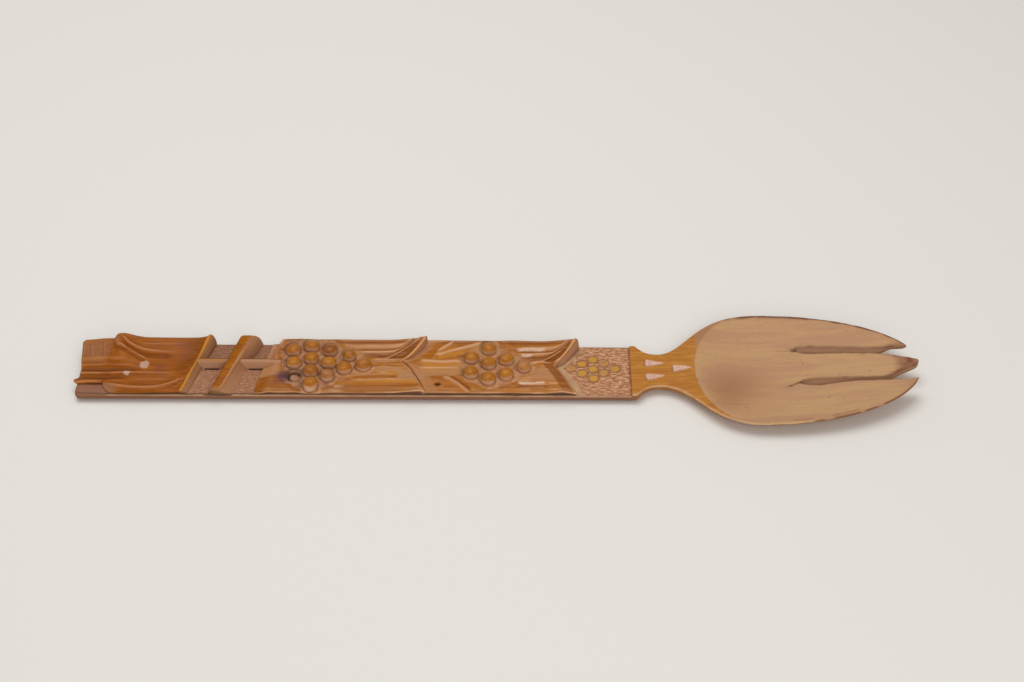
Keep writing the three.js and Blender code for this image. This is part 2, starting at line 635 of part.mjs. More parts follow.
function addPiece(name, solid, color, roughness) {
  const material = new THREE.MeshStandardMaterial({ color, roughness, metalness: 0 });
  const mesh = new THREE.Mesh(toGeometry(solid), material);
  mesh.name = name;
  spork.add(mesh);
}

function addBunch(prefix, bunch) {
  const pegs = bunchCentres(bunch).filter((centre) => !isEmptySocket(bunch, centre));
  pegs.forEach((centre, index) => {
    addPiece(`${prefix}_${String(index + 1).padStart(2, "0")}`, grapePeg(centre), COLOURS.grape, 0.35);
  });
}

addPiece("spork_body", sporkBody(), COLOURS.ground, 0.6);
addPiece("end_scroll", endScroll(), COLOURS.relief, 0.4);
addPiece("cross_bar", crossBar(), COLOURS.bar, 0.4);
addPiece("stem_rod", stemRod(), COLOURS.bar, 0.4);
addPiece("rear_leaf_panel", rearLeafPanel(), COLOURS.relief, 0.4);
addPiece("front_leaf_panel", frontLeafPanel(), COLOURS.relief, 0.4);
addBunch("rear_grape", REAR_BUNCH);
addBunch("front_grape", FRONT_BUNCH);

export default spork;
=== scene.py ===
"""Carved wooden serving spork, dressed for the camera.

Every surface is worked out with numpy in millimetres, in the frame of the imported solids: +X runs to the
tines, +Y to the far long edge and Z = 0 is the table. The meshes go into Blender in metres.
"""

import logging
import math
from abc import ABC, abstractmethod
from collections.abc import Callable
from dataclasses import dataclass, field
from enum import Enum
from typing import NamedTuple

import bpy
import numpy as np
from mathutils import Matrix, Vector

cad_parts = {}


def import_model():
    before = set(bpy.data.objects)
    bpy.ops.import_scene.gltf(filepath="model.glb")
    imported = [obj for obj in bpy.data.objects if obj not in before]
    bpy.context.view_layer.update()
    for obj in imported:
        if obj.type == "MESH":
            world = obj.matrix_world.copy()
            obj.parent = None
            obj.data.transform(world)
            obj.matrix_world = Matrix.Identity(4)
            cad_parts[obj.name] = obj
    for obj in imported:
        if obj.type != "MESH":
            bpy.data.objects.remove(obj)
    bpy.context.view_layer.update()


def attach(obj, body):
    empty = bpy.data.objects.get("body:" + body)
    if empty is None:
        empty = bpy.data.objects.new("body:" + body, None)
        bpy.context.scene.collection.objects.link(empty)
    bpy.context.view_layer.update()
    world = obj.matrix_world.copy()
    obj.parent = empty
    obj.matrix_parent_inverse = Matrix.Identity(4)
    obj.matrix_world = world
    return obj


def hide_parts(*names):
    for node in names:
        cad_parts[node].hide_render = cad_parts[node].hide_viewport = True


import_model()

Array = np.ndarray
Number = Array | float
Plan = tuple[float, float]
Triple = tuple[float, float, float]
Route = tuple[tuple[Plan, ...], ...]
Values = dict[str, Array]
Pair = tuple[Array, Array]
Line = Callable[[Array], Array]
Colour = tuple[int, int, int]
Piece = bpy.types.Object
Material = bpy.types.Material
Tree = bpy.types.NodeTree
Socket = bpy.types.NodeSocket
Outputs = bpy.types.NodeOutputs

LOG = logging.getLogger("spork")
MM = 0.001
BODY = "root"

# Sizes that several pieces share, in millimetres
TIP_X = 149
TAIL_X = -149
BOARD_END_X = -147.6
BOARD_END_HALF = 13.5
SHOULDER_X = 47.4
SHOULDER_HALF = 12.9
GROUND = 3.4
RELIEF_INSET = 0.5
SEAT_GAP = 0.3
END_SLANT = 0.272

# Angle in degrees past which an edge stays crisp
SHARP_ANGLE = 38


class Slot(Enum):
    """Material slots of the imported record."""

    BOARD = "board_wood"
    RELIEF = "relief_wood"
    GRAPE = "grape_wood"


# Shaping functions


def mix(low: Number, high: Number, share: Number) -> Number:
    """Straight blend: low at share 0, high at share 1."""
    return low + (high - low) * share


def held(value: Number) -> Number:
    """Value held between 0 and 1."""
    return np.clip(value, 0, 1)


def ramp(value: Number) -> Number:
    """Smooth step: 0 below 0, 1 above 1, a cubic in between."""
    share = held(value)
    return share * share * (3 - 2 * share)


def bell(distance: Number, width: Number) -> Number:
    """Round hump: the exponential of minus the squared distance over the width."""
    return np.exp(-((distance / width) ** 2))


def after(value: Number, start: Number, soft: Number) -> Number:
    """Smooth rise: 0 up to the start, 1 from a soft length past it."""
    return ramp((value - start) / soft)


def before(value: Number, end: Number, soft: Number) -> Number:
    """Smooth fall: 1 up to a soft length short of the end, 0 past it."""
    return ramp((end - value) / soft)


def fade(distance: Number, reach: float) -> Number:
    """Straight fall: 1 at no distance, 0 from the reach on."""
    return held(1 - distance / reach)


def gap(low: float, high: float, soft: float, value: Array) -> Array:
    """Window: 1 between low and high, with soft shoulders inside both ends."""
    return after(value, low, soft) * before(value, high, soft)


def bezier(*points: Plan) -> Array:
    """Bezier curve in plan.

    Args:
        points: control points, each weighted by its Bernstein polynomial.

    Returns:
        Sampled curve, one row of x and y for each step.
    """
    step = np.linspace(0, 1, 120)
    order = len(points) - 1
    weights = [math.comb(order, k) * step**k * (1 - step) ** (order - k) for k in range(order + 1)]
    return sum(weight[:, None] * np.array(point) for weight, point in zip(weights, points))


def chain(*curves: Array) -> Line:
    """One function of x from curves laid end to end, whose x only grows."""
    points = np.concatenate(curves)
    order = np.argsort(points[:, 0], kind="stable")
    return lambda x: np.interp(x, points[order, 0], points[order, 1])


def route(start: Plan, pieces: Route) -> Line:
    """Line through Bezier pieces laid end to end, as a function of x.

    Args:
        start: where the first piece begins.
        pieces: control points of each piece, which begins where the one before it ends.

    Returns:
        Function from places along to places across.
    """
    curves = []
    for piece in pieces:
        curves.append(bezier(start, *piece))
        start = piece[-1]
    return chain(*curves)


def cell_hash(column: Array, row: Array, seed: float) -> Array:
    """Random share of each lattice cell: the fraction left by a large multiple of a sine."""
    wave = np.sin(column * 127.1 + row * 311.7 + seed * 74.7) * 43758.5453
    return wave - np.floor(wave)


def noise(x: Number, y: Number, seed: float) -> Array:
    """Value noise from 0 to 1: random corners of a unit lattice, blended by smooth steps."""
    x, y = np.broadcast_arrays(x, y)
    column, row = np.floor(x), np.floor(y)
    across, along = ramp(x - column), ramp(y - row)
    near = mix(cell_hash(column, row, seed), cell_hash(column + 1, row, seed), across)
    far = mix(cell_hash(column, row + 1, seed), cell_hash(column + 1, row + 1, seed), across)
    return mix(near, far, along)


def ridges(x: Array, y: Array, seed: float) -> Array:
    """Wandering crests from 0 to 1: highest where value noise passes its middle."""
    return 1 - np.abs(2 * noise(x, y, seed) - 1)


def soften(grid: Array, reach: int) -> Array:
    """Moving average over a square of cells, with the border repeated outside the grid.

    Args:
        grid: values over a grid.
        reach: cells to each side.

    Returns:
        The averages.
    """
    for axis in (0, 1):
        pad = [(reach + 1, reach) if axis == k else (0, 0) for k in (0, 1)]
        total = np.cumsum(np.pad(grid, pad, mode="edge"), axis=axis)
        ahead = np.take(total, range(2 * reach + 1, total.shape[axis]), axis=axis)
        behind = np.take(total, range(0, total.shape[axis] - 2 * reach - 1), axis=axis)
        grid = (ahead - behind) / (2 * reach + 1)
    return grid


def scallops(position: Array, crests: tuple[float, ...]) -> Array:
    """Gouge cuts side by side: 0 on each crest, a half sine down to 1 between two crests.

    Args:
        position: places across the cuts.
        crests: places of the crests, in order.

    Returns:
        Depths from 0 to 1.
    """
    lines = np.array(crests)
    cell = np.clip(np.searchsorted(lines, position) - 1, 0, len(lines) - 2)
    share = held((position - lines[cell]) / (lines[cell + 1] - lines[cell]))
    return np.sin(np.pi * share)


def board_half(x: Number) -> Number:
    """Half width of the handle board, a straight taper to the shoulder."""
    return mix(BOARD_END_HALF, SHOULDER_HALF, (x - BOARD_END_X) / (SHOULDER_X - BOARD_END_X))


@dataclass(frozen=True)
class Rib:
    """Ridge along the handle, or a groove where its height is below 0, inside a window of x."""

    y: float
    width: float
    height: float
    window: Triple

    def at(self, x: Array, y: Array) -> Array:
        """Bell across the line, times its window along the handle."""
        return self.height * bell(y - self.y, self.width) * gap(*self.window, x)


@dataclass(frozen=True)
class Spot:
    """Round or oval mark: its middle, its reach along and across the handle, and its strength."""

    x: float
    y: float
    length: float
    width: float
    strength: float = 1.0

    def at(self, x: Array, y: Array) -> Array:
        """Bell along the handle times a bell across it."""
        return self.strength * bell(x - self.x, self.length) * bell(y - self.y, self.width)


def added(marks: tuple[Rib, ...] | tuple[Spot, ...], x: Array, y: Array) -> Array:
    """Ribs or spots, added up."""
    return sum(mark.at(x, y) for mark in marks)


def blank(x: Array, y: Array) -> Array:
    """Zeros over a grid."""
    return np.zeros(np.broadcast(x, y).shape)


def lift_masks(masks: Values, **levels: Array) -> None:
    """Lift named masks to at least the given levels."""
    for name, level in levels.items():
        masks[name] = np.maximum(masks[name], level)


# Mesh building


class ClosedMesh:
    """Points, faces and named values of one closed surface, gathered before they go into Blender."""

    def __init__(self) -> None:
        """Start with nothing."""
        self.points: list[Array] = []
        self.values: dict[str, list[Array]] = {}
        self.faces: list[Array] = []
        self.count = 0

    def add_points(self, x: Number, y: Number, z: Array, values: Values) -> Array:
        """Add points of any grid shape.

        Args:
            x: places along the handle, in millimetres.
            y: places across it.
            z: heights above the table.
            values: named value of each point; a name that is missing counts as 0.

        Returns:
            Index of each point, in the grid's shape.
        """
        x, y, z = np.broadcast_arrays(x, y, z)
        index = self.count + np.arange(x.size).reshape(x.shape)
        self.points.append(np.stack([x.ravel(), y.ravel(), z.ravel()], axis=1))
        for name in {**self.values, **values}:
            known = self.values.setdefault(name, [np.zeros(self.count)])
            known.append(np.broadcast_to(values.get(name, 0), x.shape).ravel())
        self.count += x.size
        return index

    def add_grid(self, index: Array) -> None:
        """Add quads over an index grid whose rows run along +X and columns along +Y, facing up."""
        corners = (index[:-1, :-1], index[1:, :-1], index[1:, 1:], index[:-1, 1:])
        self.faces.append(np.stack([corner.ravel() for corner in corners], axis=1))

    def add_fan(self, ring: Array, pole: int) -> None:
        """Close a ring with triangles to one point; the ring runs counter-clockwise seen from outside."""
        self.faces.append(np.stack([ring, np.roll(ring, -1), np.full(ring.shape, pole)], axis=1))

    def add_cap(self, ring: Array) -> None:
        """Close a flat ring with one face; the ring runs counter-clockwise seen from outside."""
        self.faces.append(ring.reshape(1, -1))

    def to_object(self, name: str, node: str, material: Material) -> Piece:
        """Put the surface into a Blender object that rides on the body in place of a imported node.

        Args:
            name: name of the piece.
            node: the node that it replaces.
            material: its finish.

        Returns:
            The linked object, at the origin.
        """
        loops = np.concatenate([face.ravel() for face in self.faces])
        sizes = np.concatenate([np.full(len(face), face.shape[1]) for face in self.faces])
        used, loops = np.unique(loops, return_inverse=True)
        mesh = bpy.data.meshes.new(name)
        mesh.vertices.add(len(used))
        mesh.vertices.foreach_set("co", (np.concatenate(self.points)[used] * MM).astype(np.float32).ravel())
        mesh.loops.add(len(loops))
        mesh.loops.foreach_set("vertex_index", loops.astype(np.int32).ravel())
        mesh.polygons.add(len(sizes))
        starts = np.concatenate([[0], np.cumsum(sizes)[:-1]])
        mesh.polygons.foreach_set("loop_start", starts.astype(np.int32))
        mesh.update(calc_edges=True)
        mesh.polygons.foreach_set("use_smooth", np.ones(len(sizes), dtype=bool))
        mesh.set_sharp_from_angle(angle=math.radians(SHARP_ANGLE))
        for label, parts in self.values.items():
            layer = mesh.attributes.new(label, "FLOAT", "POINT")
            layer.data.foreach_set("value", np.concatenate(parts)[used].astype(np.float32))
        mesh.materials.append(material)
        piece = bpy.data.objects.new(name, mesh)
        bpy.context.scene.collection.objects.link(piece)
        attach(piece, BODY)
        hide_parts(node)
        return piece


# Node building


def linear(colour: Colour) -> tuple[float, float, float, float]:
    """Screen colour from 0 to 255 as linear light, by the standard screen curve."""
    shares = [channel / 255 for channel in colour]
    light = [s / 12.92 if s <= 0.04045 else ((s + 0.055) / 1.055) ** 2.4 for s in shares]
    return (*light, 1)


Feed = Socket | float | Colour

# Scales of the wood's patterns, in units per millimetre along, across and up
STREAK_SCALE: Triple = (0.045, 1.5, 1.5)
FIGURE_SCALE: Triple = (0.02, 0.22, 0.22)
PORE_SCALE: Triple = (0.35, 4.2, 4.2)
PATCH_SCALE: Triple = (0.25, 0.45, 0.45)
SPECK_SCALE: Triple = (1.6, 1.9, 1.9)
PUNCH_SCALE: Triple = (0.52, 3.5, 0)


class NodeSheet:
    """Adds and joins nodes in one tree."""

    def __init__(self, tree: Tree) -> None:
        """Work on a tree."""
        self.tree = tree

    def feed(self, socket: Socket, value: Feed) -> None:
        """Link a socket to another one, or set its own value; a screen colour goes in as linear light."""
        if isinstance(value, Socket):
            self.tree.links.new(value, socket)
        else:
            socket.default_value = linear(value) if isinstance(value, tuple) else value

    def add(self, kind: str, **feeds: Feed) -> bpy.types.Node:
        """Add a node and feed its inputs by name, with _ for a space."""
        node = self.tree.nodes.new(kind)
        for name, value in feeds.items():
            self.feed(node.inputs[name.replace("_", " ")], value)
        return node

    def colour(self, share: Feed, first: Feed, second: Feed, blend: str = "MIX") -> Socket:
        """Blend two colours."""
        node = self.tree.nodes.new("ShaderNodeMix")
        node.data_type = "RGBA"
        node.blend_type = blend
        for place, value in ((0, share), (6, first), (7, second)):
            self.feed(node.inputs[place], value)
        return node.outputs[2]

    def value(self, share: Feed, first: Feed, second: Feed) -> Socket:
        """Blend two numbers."""
        node = self.tree.nodes.new("ShaderNodeMix")
        for place, value in ((0, share), (2, first), (3, second)):
            self.feed(node.inputs[place], value)
        return node.outputs[0]

    def math(self, operation: str, first: Feed, second: Feed = 0, third: Feed = 0) -> Socket:
        """Combine two or three numbers, held between 0 and 1."""
        node = self.tree.nodes.new("ShaderNodeMath")
        node.operation = operation
        node.use_clamp = True
        for socket, value in zip(node.inputs, (first, second, third)):
            self.feed(socket, value)
        return node.outputs[0]

    def scaled(self, value: Feed, share: Feed) -> Socket:
        """Product of two numbers, held between 0 and 1."""
        return self.math("MULTIPLY", value, share)

    def span(self, value: Feed, low: float, high: float) -> Socket:
        """Smooth step of a number from low to high."""
        node = self.add("ShaderNodeMapRange", Value=value, From_Min=low, From_Max=high)
        node.interpolation_type = "SMOOTHSTEP"
        return node.outputs["Result"]

    def attribute(self, name: str) -> Socket:
        """Read a named value of the piece."""
        node = self.tree.nodes.new("ShaderNodeAttribute")
        node.attribute_name = name
        return node.outputs["Fac"]

    def lay(self, colour: Feed, mask: str, layer: Feed) -> Socket:
        """Lay one colour over another by a named value of the piece."""
        return self.colour(self.attribute(mask), colour, layer)

    def own_place(self) -> Socket:
        """Place in the piece's own coordinates."""
        return self.tree.nodes.new("ShaderNodeTexCoord").outputs["Object"]

    def place(self, vector: Socket, per_mm: Triple) -> Socket:
        """Stretch a place in metres to pattern units, given in units per millimetre."""
        node = self.add("ShaderNodeMapping", Vector=vector)
        node.inputs["Scale"].default_value = tuple(share / MM for share in per_mm)
        return node.outputs["Vector"]

    def noise(self, vector: Socket, detail: float = 2, distortion: float = 0) -> Socket:
        """Noise texture at the scale of its vector."""
        feeds = {"Vector": vector, "Scale": 1, "Detail": detail, "Distortion": distortion}
        return self.add("ShaderNodeTexNoise", **feeds).outputs["Fac"]


def new_group(name: str, inputs: tuple[str, ...], outputs: tuple[str, ...]) -> Tree:
    """Empty shader node group with named value sockets, and one vector input called Place."""
    group = bpy.data.node_groups.new(name, "ShaderNodeTree")
    group.interface.new_socket("Place", in_out="INPUT", socket_type="NodeSocketVector")
    for label in inputs:
        group.interface.new_socket(label, in_out="INPUT", socket_type="NodeSocketFloat")
    for label in outputs:
        group.interface.new_socket(label, in_out="OUTPUT", socket_type="NodeSocketFloat")
    return group


def grain_group() -> Tree:
    """Long grain of the wood: streaks, a slow figure, and short dark pores, all drawn out along +X."""
    group = new_group("long_grain", (), ("Streak", "Figure", "Pore", "Height"))
    sheet = NodeSheet(group)
    place = group.nodes.new("NodeGroupInput").outputs["Place"]
    out = group.nodes.new("NodeGroupOutput")
    fine = sheet.noise(sheet.place(place, STREAK_SCALE), 4, 0.4)
    broad = sheet.noise(sheet.place(place, FIGURE_SCALE), 2, 0.8)
    dash = sheet.noise(sheet.place(place, PORE_SCALE))
    pore = sheet.span(dash, 0.62, 0.74)
    sheet.feed(out.inputs["Streak"], sheet.span(fine, 0.3, 0.7))
    sheet.feed(out.inputs["Figure"], sheet.span(broad, 0.35, 0.65))
    sheet.feed(out.inputs["Pore"], pore)
    sheet.feed(out.inputs["Height"], sheet.math("SUBTRACT", fine, sheet.scaled(pore, 0.5)))
    return group


def wear_group() -> Tree:
    """Handling marks and painted highlights: breaks up a mask with patches and specks so that it looks worn
    and uneven.
    """
    group = new_group("wear_and_highlight", ("Mask", "Spread"), ("Worn", "Patch", "Speck"))
    sheet = NodeSheet(group)
    source = group.nodes.new("NodeGroupInput")
    out = group.nodes.new("NodeGroupOutput")
    place = source.outputs["Place"]
    patch = sheet.noise(sheet.place(place, PATCH_SCALE), 3, 0.5)
    speck = sheet.noise(sheet.place(place, SPECK_SCALE))
    push = sheet.scaled(patch, source.outputs["Spread"])
    sheet.feed(out.inputs["Worn"], sheet.math("SUBTRACT", source.outputs["Mask"], push))
    sheet.feed(out.inputs["Patch"], sheet.span(patch, 0.35, 0.65))
    sheet.feed(out.inputs["Speck"], sheet.span(speck, 0.57, 0.68))
    return group


class Effects:
    """The shader groups that every finish draws on, built once."""

    def __init__(self) -> None:
        """Build the groups."""
        self.grain = grain_group()
        self.wear = wear_group()

    def use(self, sheet: NodeSheet, group: Tree, **feeds: Feed) -> Outputs:
        """Place a group in a material.

        Args:
            sheet: the material's nodes.
            group: the effect.
            feeds: its inputs by name, besides Place, which is the piece's own coordinates.

        Returns:
            The outputs of the group.
        """
        node = sheet.tree.nodes.new("ShaderNodeGroup")
        node.node_tree = group
        for name, value in {"Place": sheet.own_place(), **feeds}.items():
            sheet.feed(node.inputs[name], value)
        return node.outputs


class Coating(NamedTuple):
    """What a finish feeds to its shader."""

    colour: Socket
    roughness: Socket
    varnish: Socket
    height: Socket


@dataclass(frozen=True)
class Finish(ABC):
    """A surface finish: its colours, as seen on screen, and its gloss."""

    name: str
    effects: Effects
    coat_roughness: float
    bump: float
    specular: float = 0.3

    @abstractmethod
    def paint(self, sheet: NodeSheet) -> Coating:
        """Lay the nodes of the finish."""

    def material(self) -> Material:
        """Make the Blender material."""
        material = bpy.data.materials.new(self.name)
        material.use_nodes = True
        sheet = NodeSheet(material.node_tree)
        shader = material.node_tree.nodes["Principled BSDF"]
        coating = self.paint(sheet)
        sheet.feed(shader.inputs["Base Color"], coating.colour)
        sheet.feed(shader.inputs["Roughness"], coating.roughness)
        sheet.feed(shader.inputs["Coat Weight"], coating.varnish)
        shader.inputs["Coat Roughness"].default_value = self.coat_roughness
        shader.inputs["Specular IOR Level"].default_value = self.specular
        bump = sheet.add("ShaderNodeBump", Height=coating.height, Strength=1, Distance=self.bump * MM)
        sheet.feed(shader.inputs["Normal"], bump.outputs["Normal"])
        return material


@dataclass(frozen=True)
class BoardFinish(Finish):
    """Handle board and bowl: punched ground, varnished neck, bare worn hollow, with painted shade and
    highlights.
    """

    ground_gap: Colour = (144, 88, 58)
    ground_plain: Colour = (180, 124, 86)
    ground_mark: Colour = (230, 182, 136)
    plain: Colour = (146, 98, 71)
    speck: Colour = (208, 162, 126)
    varnish_deep: Colour = (178, 104, 20)
    varnish_gold: Colour = (202, 138, 44)
    varnish_old: Colour = (160, 100, 22)
    bare_light: Colour = (198, 154, 108)
    bare_pink: Colour = (189, 142, 106)
    bare_dark: Colour = (164, 114, 78)
    pore: Colour = (120, 78, 54)
    flat_grape: Colour = (206, 148, 48)
    cut: Colour = (210, 166, 144)
    # Painted highlights speckled over the chips' cut faces
    cut_highlight: Colour = (236, 216, 206)
    # Slot colour, a little darker than the bare top, on the slot walls and as painted shade along their
    # edges
    slot: Colour = (168, 122, 90)
    # Dark rim colour, also painted shade at the neck's step, flat grapes' edges, neck chips and board sides
    rim: Colour = (112, 66, 42)
    # Dark colour for dirt and dark knots, and for painted shade in slits, seams, slot edges and wall feet
    grime: Colour = (66, 38, 22)
    # Pale wear, also a painted highlight along rounded edges and the bowl's near rim
    worn: Colour = (208, 170, 128)
    tip: Colour = (124, 66, 48)
    bare_roughness: float = 0.62
    varnish_roughness: float = 0.36
    varnish_coat: float = 0.2

    def punched(self, sheet: NodeSheet, grain: Outputs, worn: Outputs, dash: Socket) -> Socket:
        """Colour of the ground: plain with pale specks, and short dashes where it is punched.

        Args:
            sheet: the material's nodes.
            grain: outputs of the grain.
            worn: outputs of the wear.
            dash: noise of the punch marks.

        Returns:
            The colour.
        """
        punch = sheet.attribute("punch")
        specked = sheet.scaled(worn["Speck"], sheet.math("MULTIPLY_ADD", punch, 2, 0.2))
        plain = sheet.colour(specked, self.plain, self.speck)
        plain = sheet.colour(sheet.scaled(grain["Streak"], 0.3), plain, self.ground_gap)
        marks = sheet.span(dash, 0.38, 0.48)
        marks = sheet.colour(marks, self.ground_gap, self.ground_plain)
        marks = sheet.colour(sheet.span(dash, 0.53, 0.62), marks, self.ground_mark)
        return sheet.colour(punch, plain, marks)

    def varnished(self, sheet: NodeSheet, grain: Outputs, worn: Outputs) -> Socket:
        """Colour of the varnish: golden streaks over a deep tone, older in patches."""
        colour = sheet.colour(grain["Streak"], self.varnish_deep, self.varnish_gold)
        colour = sheet.colour(sheet.scaled(grain["Figure"], 0.4), colour, self.varnish_deep)
        return sheet.colour(sheet.scaled(worn["Patch"], 0.4), colour, self.varnish_old)

    def bare(self, sheet: NodeSheet, grain: Outputs) -> Socket:
        """Colour of the bare wood: light and pink figure, darker patches and fine pores."""
        colour = sheet.colour(grain["Figure"], self.bare_light, self.bare_pink)
        shade = sheet.math("ADD", sheet.attribute("patch"), sheet.scaled(grain["Streak"], 0.12))
        colour = sheet.colour(shade, colour, self.bare_dark)
        return sheet.colour(sheet.scaled(grain["Pore"], 0.3), colour, self.pore)

    def paint(self, sheet: NodeSheet) -> Coating:
        """Lay ground, varnish and bare wood over one another by the piece's own masks."""
        grain = self.effects.use(sheet, self.effects.grain)
        worn = self.effects.use(sheet, self.effects.wear, Mask=sheet.attribute("worn"), Spread=0.9)
        dash = sheet.noise(sheet.place(sheet.own_place(), PUNCH_SCALE), 2, 0.7)
        colour = self.punched(sheet, grain, worn, dash)
        colour = sheet.lay(colour, "varnish", self.varnished(sheet, grain, worn))
        colour = sheet.lay(colour, "bare", self.bare(sheet, grain))
        layers = {
            "flat": self.flat_grape,
            "cut": sheet.colour(worn["Speck"], self.cut, self.cut_highlight),
            "slot": self.slot,
            "tip": self.tip,
            "rim": self.rim,
        }
        for mask, layer in layers.items():
            colour = sheet.lay(colour, mask, layer)
        colour = sheet.colour(worn["Worn"], colour, self.worn)
        colour = sheet.lay(colour, "grime", self.grime)
        varnish = sheet.attribute("varnish")
        roughness = sheet.value(varnish, self.bare_roughness, self.varnish_roughness)
        height = sheet.value(sheet.attribute("punch"), grain["Height"], sheet.scaled(dash, 2))
        return Coating(colour, roughness, sheet.scaled(varnish, self.varnish_coat), height)


@dataclass(frozen=True)
class ReliefFinish(Finish):
    """Varnished carving: dark in the hollows, bright on the crests, partly painted shade and highlight;
    bare on cut faces.
    """

    deep: Colour = (140, 72, 6)
    warm: Colour = (180, 108, 20)
    # Pale crests: wear, and painted highlights on ridges, flute crests, streaks, edges and corners
    crest: Colour = (220, 170, 128)
    # Dark hollows: darker varnish, and painted shade in gouges, troughs, grooves and round the pegs
    hollow: Colour = (120, 58, 2)
    # Golden varnish, also a painted highlight along the scroll's lip
    gold: Colour = (204, 134, 34)
    bare: Colour = (188, 142, 114)
    dust: Colour = (184, 134, 94)
    # Pale colour of the wax drips, also used for painted highlight streaks on the front leaf
    wax_and_highlight: Colour = (226, 200, 182)
    stain: Colour = (70, 48, 82)
    # Dark colour for the knot hole, and for painted shade at wall feet, round the pegs and in the socket
    grime: Colour = (60, 34, 18)
    coat: float = 0.03
    smooth_roughness: float = 0.32
    patch_roughness: float = 0.48
    bare_roughness: float = 0.7

    def paint(self, sheet: NodeSheet) -> Coating:
        """Lay varnish, then wear it and paint shade and highlights on it by the carving's own crests,
        hollows and cut faces.
        """
        grain = self.effects.use(sheet, self.effects.grain)
        worn = self.effects.use(sheet, self.effects.wear, Mask=sheet.attribute("dust"), Spread=0.55)
        colour = sheet.colour(grain["Streak"], self.deep, self.warm)
        colour = sheet.colour(sheet.scaled(worn["Patch"], 0.4), colour, self.warm)
        for mask, layer in {"valley": self.hollow, "gold": self.gold, "crest": self.crest}.items():
            colour = sheet.lay(colour, mask, layer)
        bare = sheet.colour(sheet.scaled(grain["Streak"], 0.3), self.bare, self.warm)
        bare = sheet.colour(sheet.scaled(worn["Speck"], 0.4), bare, self.dust)
        colour = sheet.lay(colour, "bare", bare)
        colour = sheet.colour(worn["Worn"], colour, self.dust)
        for mask, layer in {"wax_and_highlight": self.wax_and_highlight, "stain": self.stain, "grime": self.grime}.items():
            colour = sheet.lay(colour, mask, layer)
        matte = sheet.math("MAXIMUM", sheet.attribute("bare"), worn["Worn"])
        gloss = sheet.value(worn["Patch"], self.smooth_roughness, self.patch_roughness)
        roughness = sheet.value(matte, gloss, self.bare_roughness)
        return Coating(colour, roughness, sheet.math("SUBTRACT", self.coat, matte), grain["Height"])


@dataclass(frozen=True)
class GrapeFinish(Finish):
    """Grape pegs: varnished crowns over paler sides, rubbed bare and with a painted highlight on the near
    side.
    """

    deep: Colour = (136, 70, 6)
    warm: Colour = (184, 114, 18)
    # Pale sides: bare wood, and a painted highlight on the near side
    side: Colour = (226, 182, 152)
    # Painted shade on the pegs' far and left sides and at their foot
    grime: Colour = (92, 50, 34)
    coat: float = 0.12
    crown_roughness: float = 0.33
    side_roughness: float = 0.55

    def paint(self, sheet: NodeSheet) -> Coating:
        """Blend the crown's varnish into the sides by each peg's own height mask."""
        grain = self.effects.use(sheet, self.effects.grain)
        worn = self.effects.use(sheet, self.effects.wear, Mask=sheet.attribute("side"), Spread=0.6)
        tone = sheet.value(0.6, grain["Streak"], sheet.attribute("tone"))
        colour = sheet.colour(tone, self.deep, self.warm)
        colour = sheet.colour(worn["Worn"], colour, self.side)
        colour = sheet.lay(colour, "grime", self.grime)
        roughness = sheet.value(worn["Worn"], self.crown_roughness, self.side_roughness)
        return Coating(colour, roughness, sheet.math("SUBTRACT", self.coat, worn["Worn"]), grain["Height"])


# Body


class Tine(Enum):
    """The three tines, in order from the near edge to the far one."""

    NEAR = 0
    MIDDLE = 1
    FAR = 2


@dataclass(frozen=True)
class Bunch:
    """Grapes in columns: the first column's place, the pitches, and each column's count and middle."""

    x: float
    column_pitch: float
    row_pitch: float
    counts: tuple[int, ...]
    middles: tuple[float, ...]
    leans: tuple[float, ...] = (0, 0, 0, 0, 0)
    empty: tuple[int, int] | None = None

    def centre(self, column: int, row: int) -> Plan:
        """Centre of one grape; rows run from near to far, and each column leans by its own slope."""
        y = self.middles[column] + (row - (self.counts[column] - 1) / 2) * self.row_pitch
        return (self.x + column * self.column_pitch - self.leans[column] * y, y)

    def centres(self, keep_empty: bool) -> list[Plan]:
        """Centres column by column.

        Args:
            keep_empty: whether the socket without a grape is listed too.

        Returns:
            Plan places, from near to far in each column.
        """
        return [
            self.centre(column, row)
            for column, count in enumerate(self.counts)
            for row in range(count)
            if keep_empty or (column, row) != self.empty
        ]

    def nearest(self, x: Array, y: Array) -> Array:
        """Distance from each place to the closest centre."""
        return np.minimum.reduce([np.hypot(x - cx, y - cy) for cx, cy in self.centres(True)])

    def bed(self, x: Array, y: Array) -> Array:
        """Sunk bed of the bunch from 0 to 1: wide bells round the centres, added up and cut off."""
        cover = sum(bell(np.hypot(x - cx, y - cy), 4.6) for cx, cy in self.centres(True))
        return after(cover, 0.15, 0.75)


FLAT_BUNCH = Bunch(26.4, 3.9, 4.9, (1, 2, 3, 2, 1), (1.1, 0.8, 0.6, 1.2, 0.8))
REAR_BUNCH = Bunch(
    -72, 6.15, 6.4, (3, 4, 3, 2, 1), (0.9, -0.3, 0.8, 1.2, -0.3), (0.12, 0.06, 0, -0.2, 0), (0, 0))
FRONT_BUNCH = Bunch(-9.2, 6.2, 7.6, (2, 3, 2, 1), (-0.1, 0.8, -0.8, -0.7))


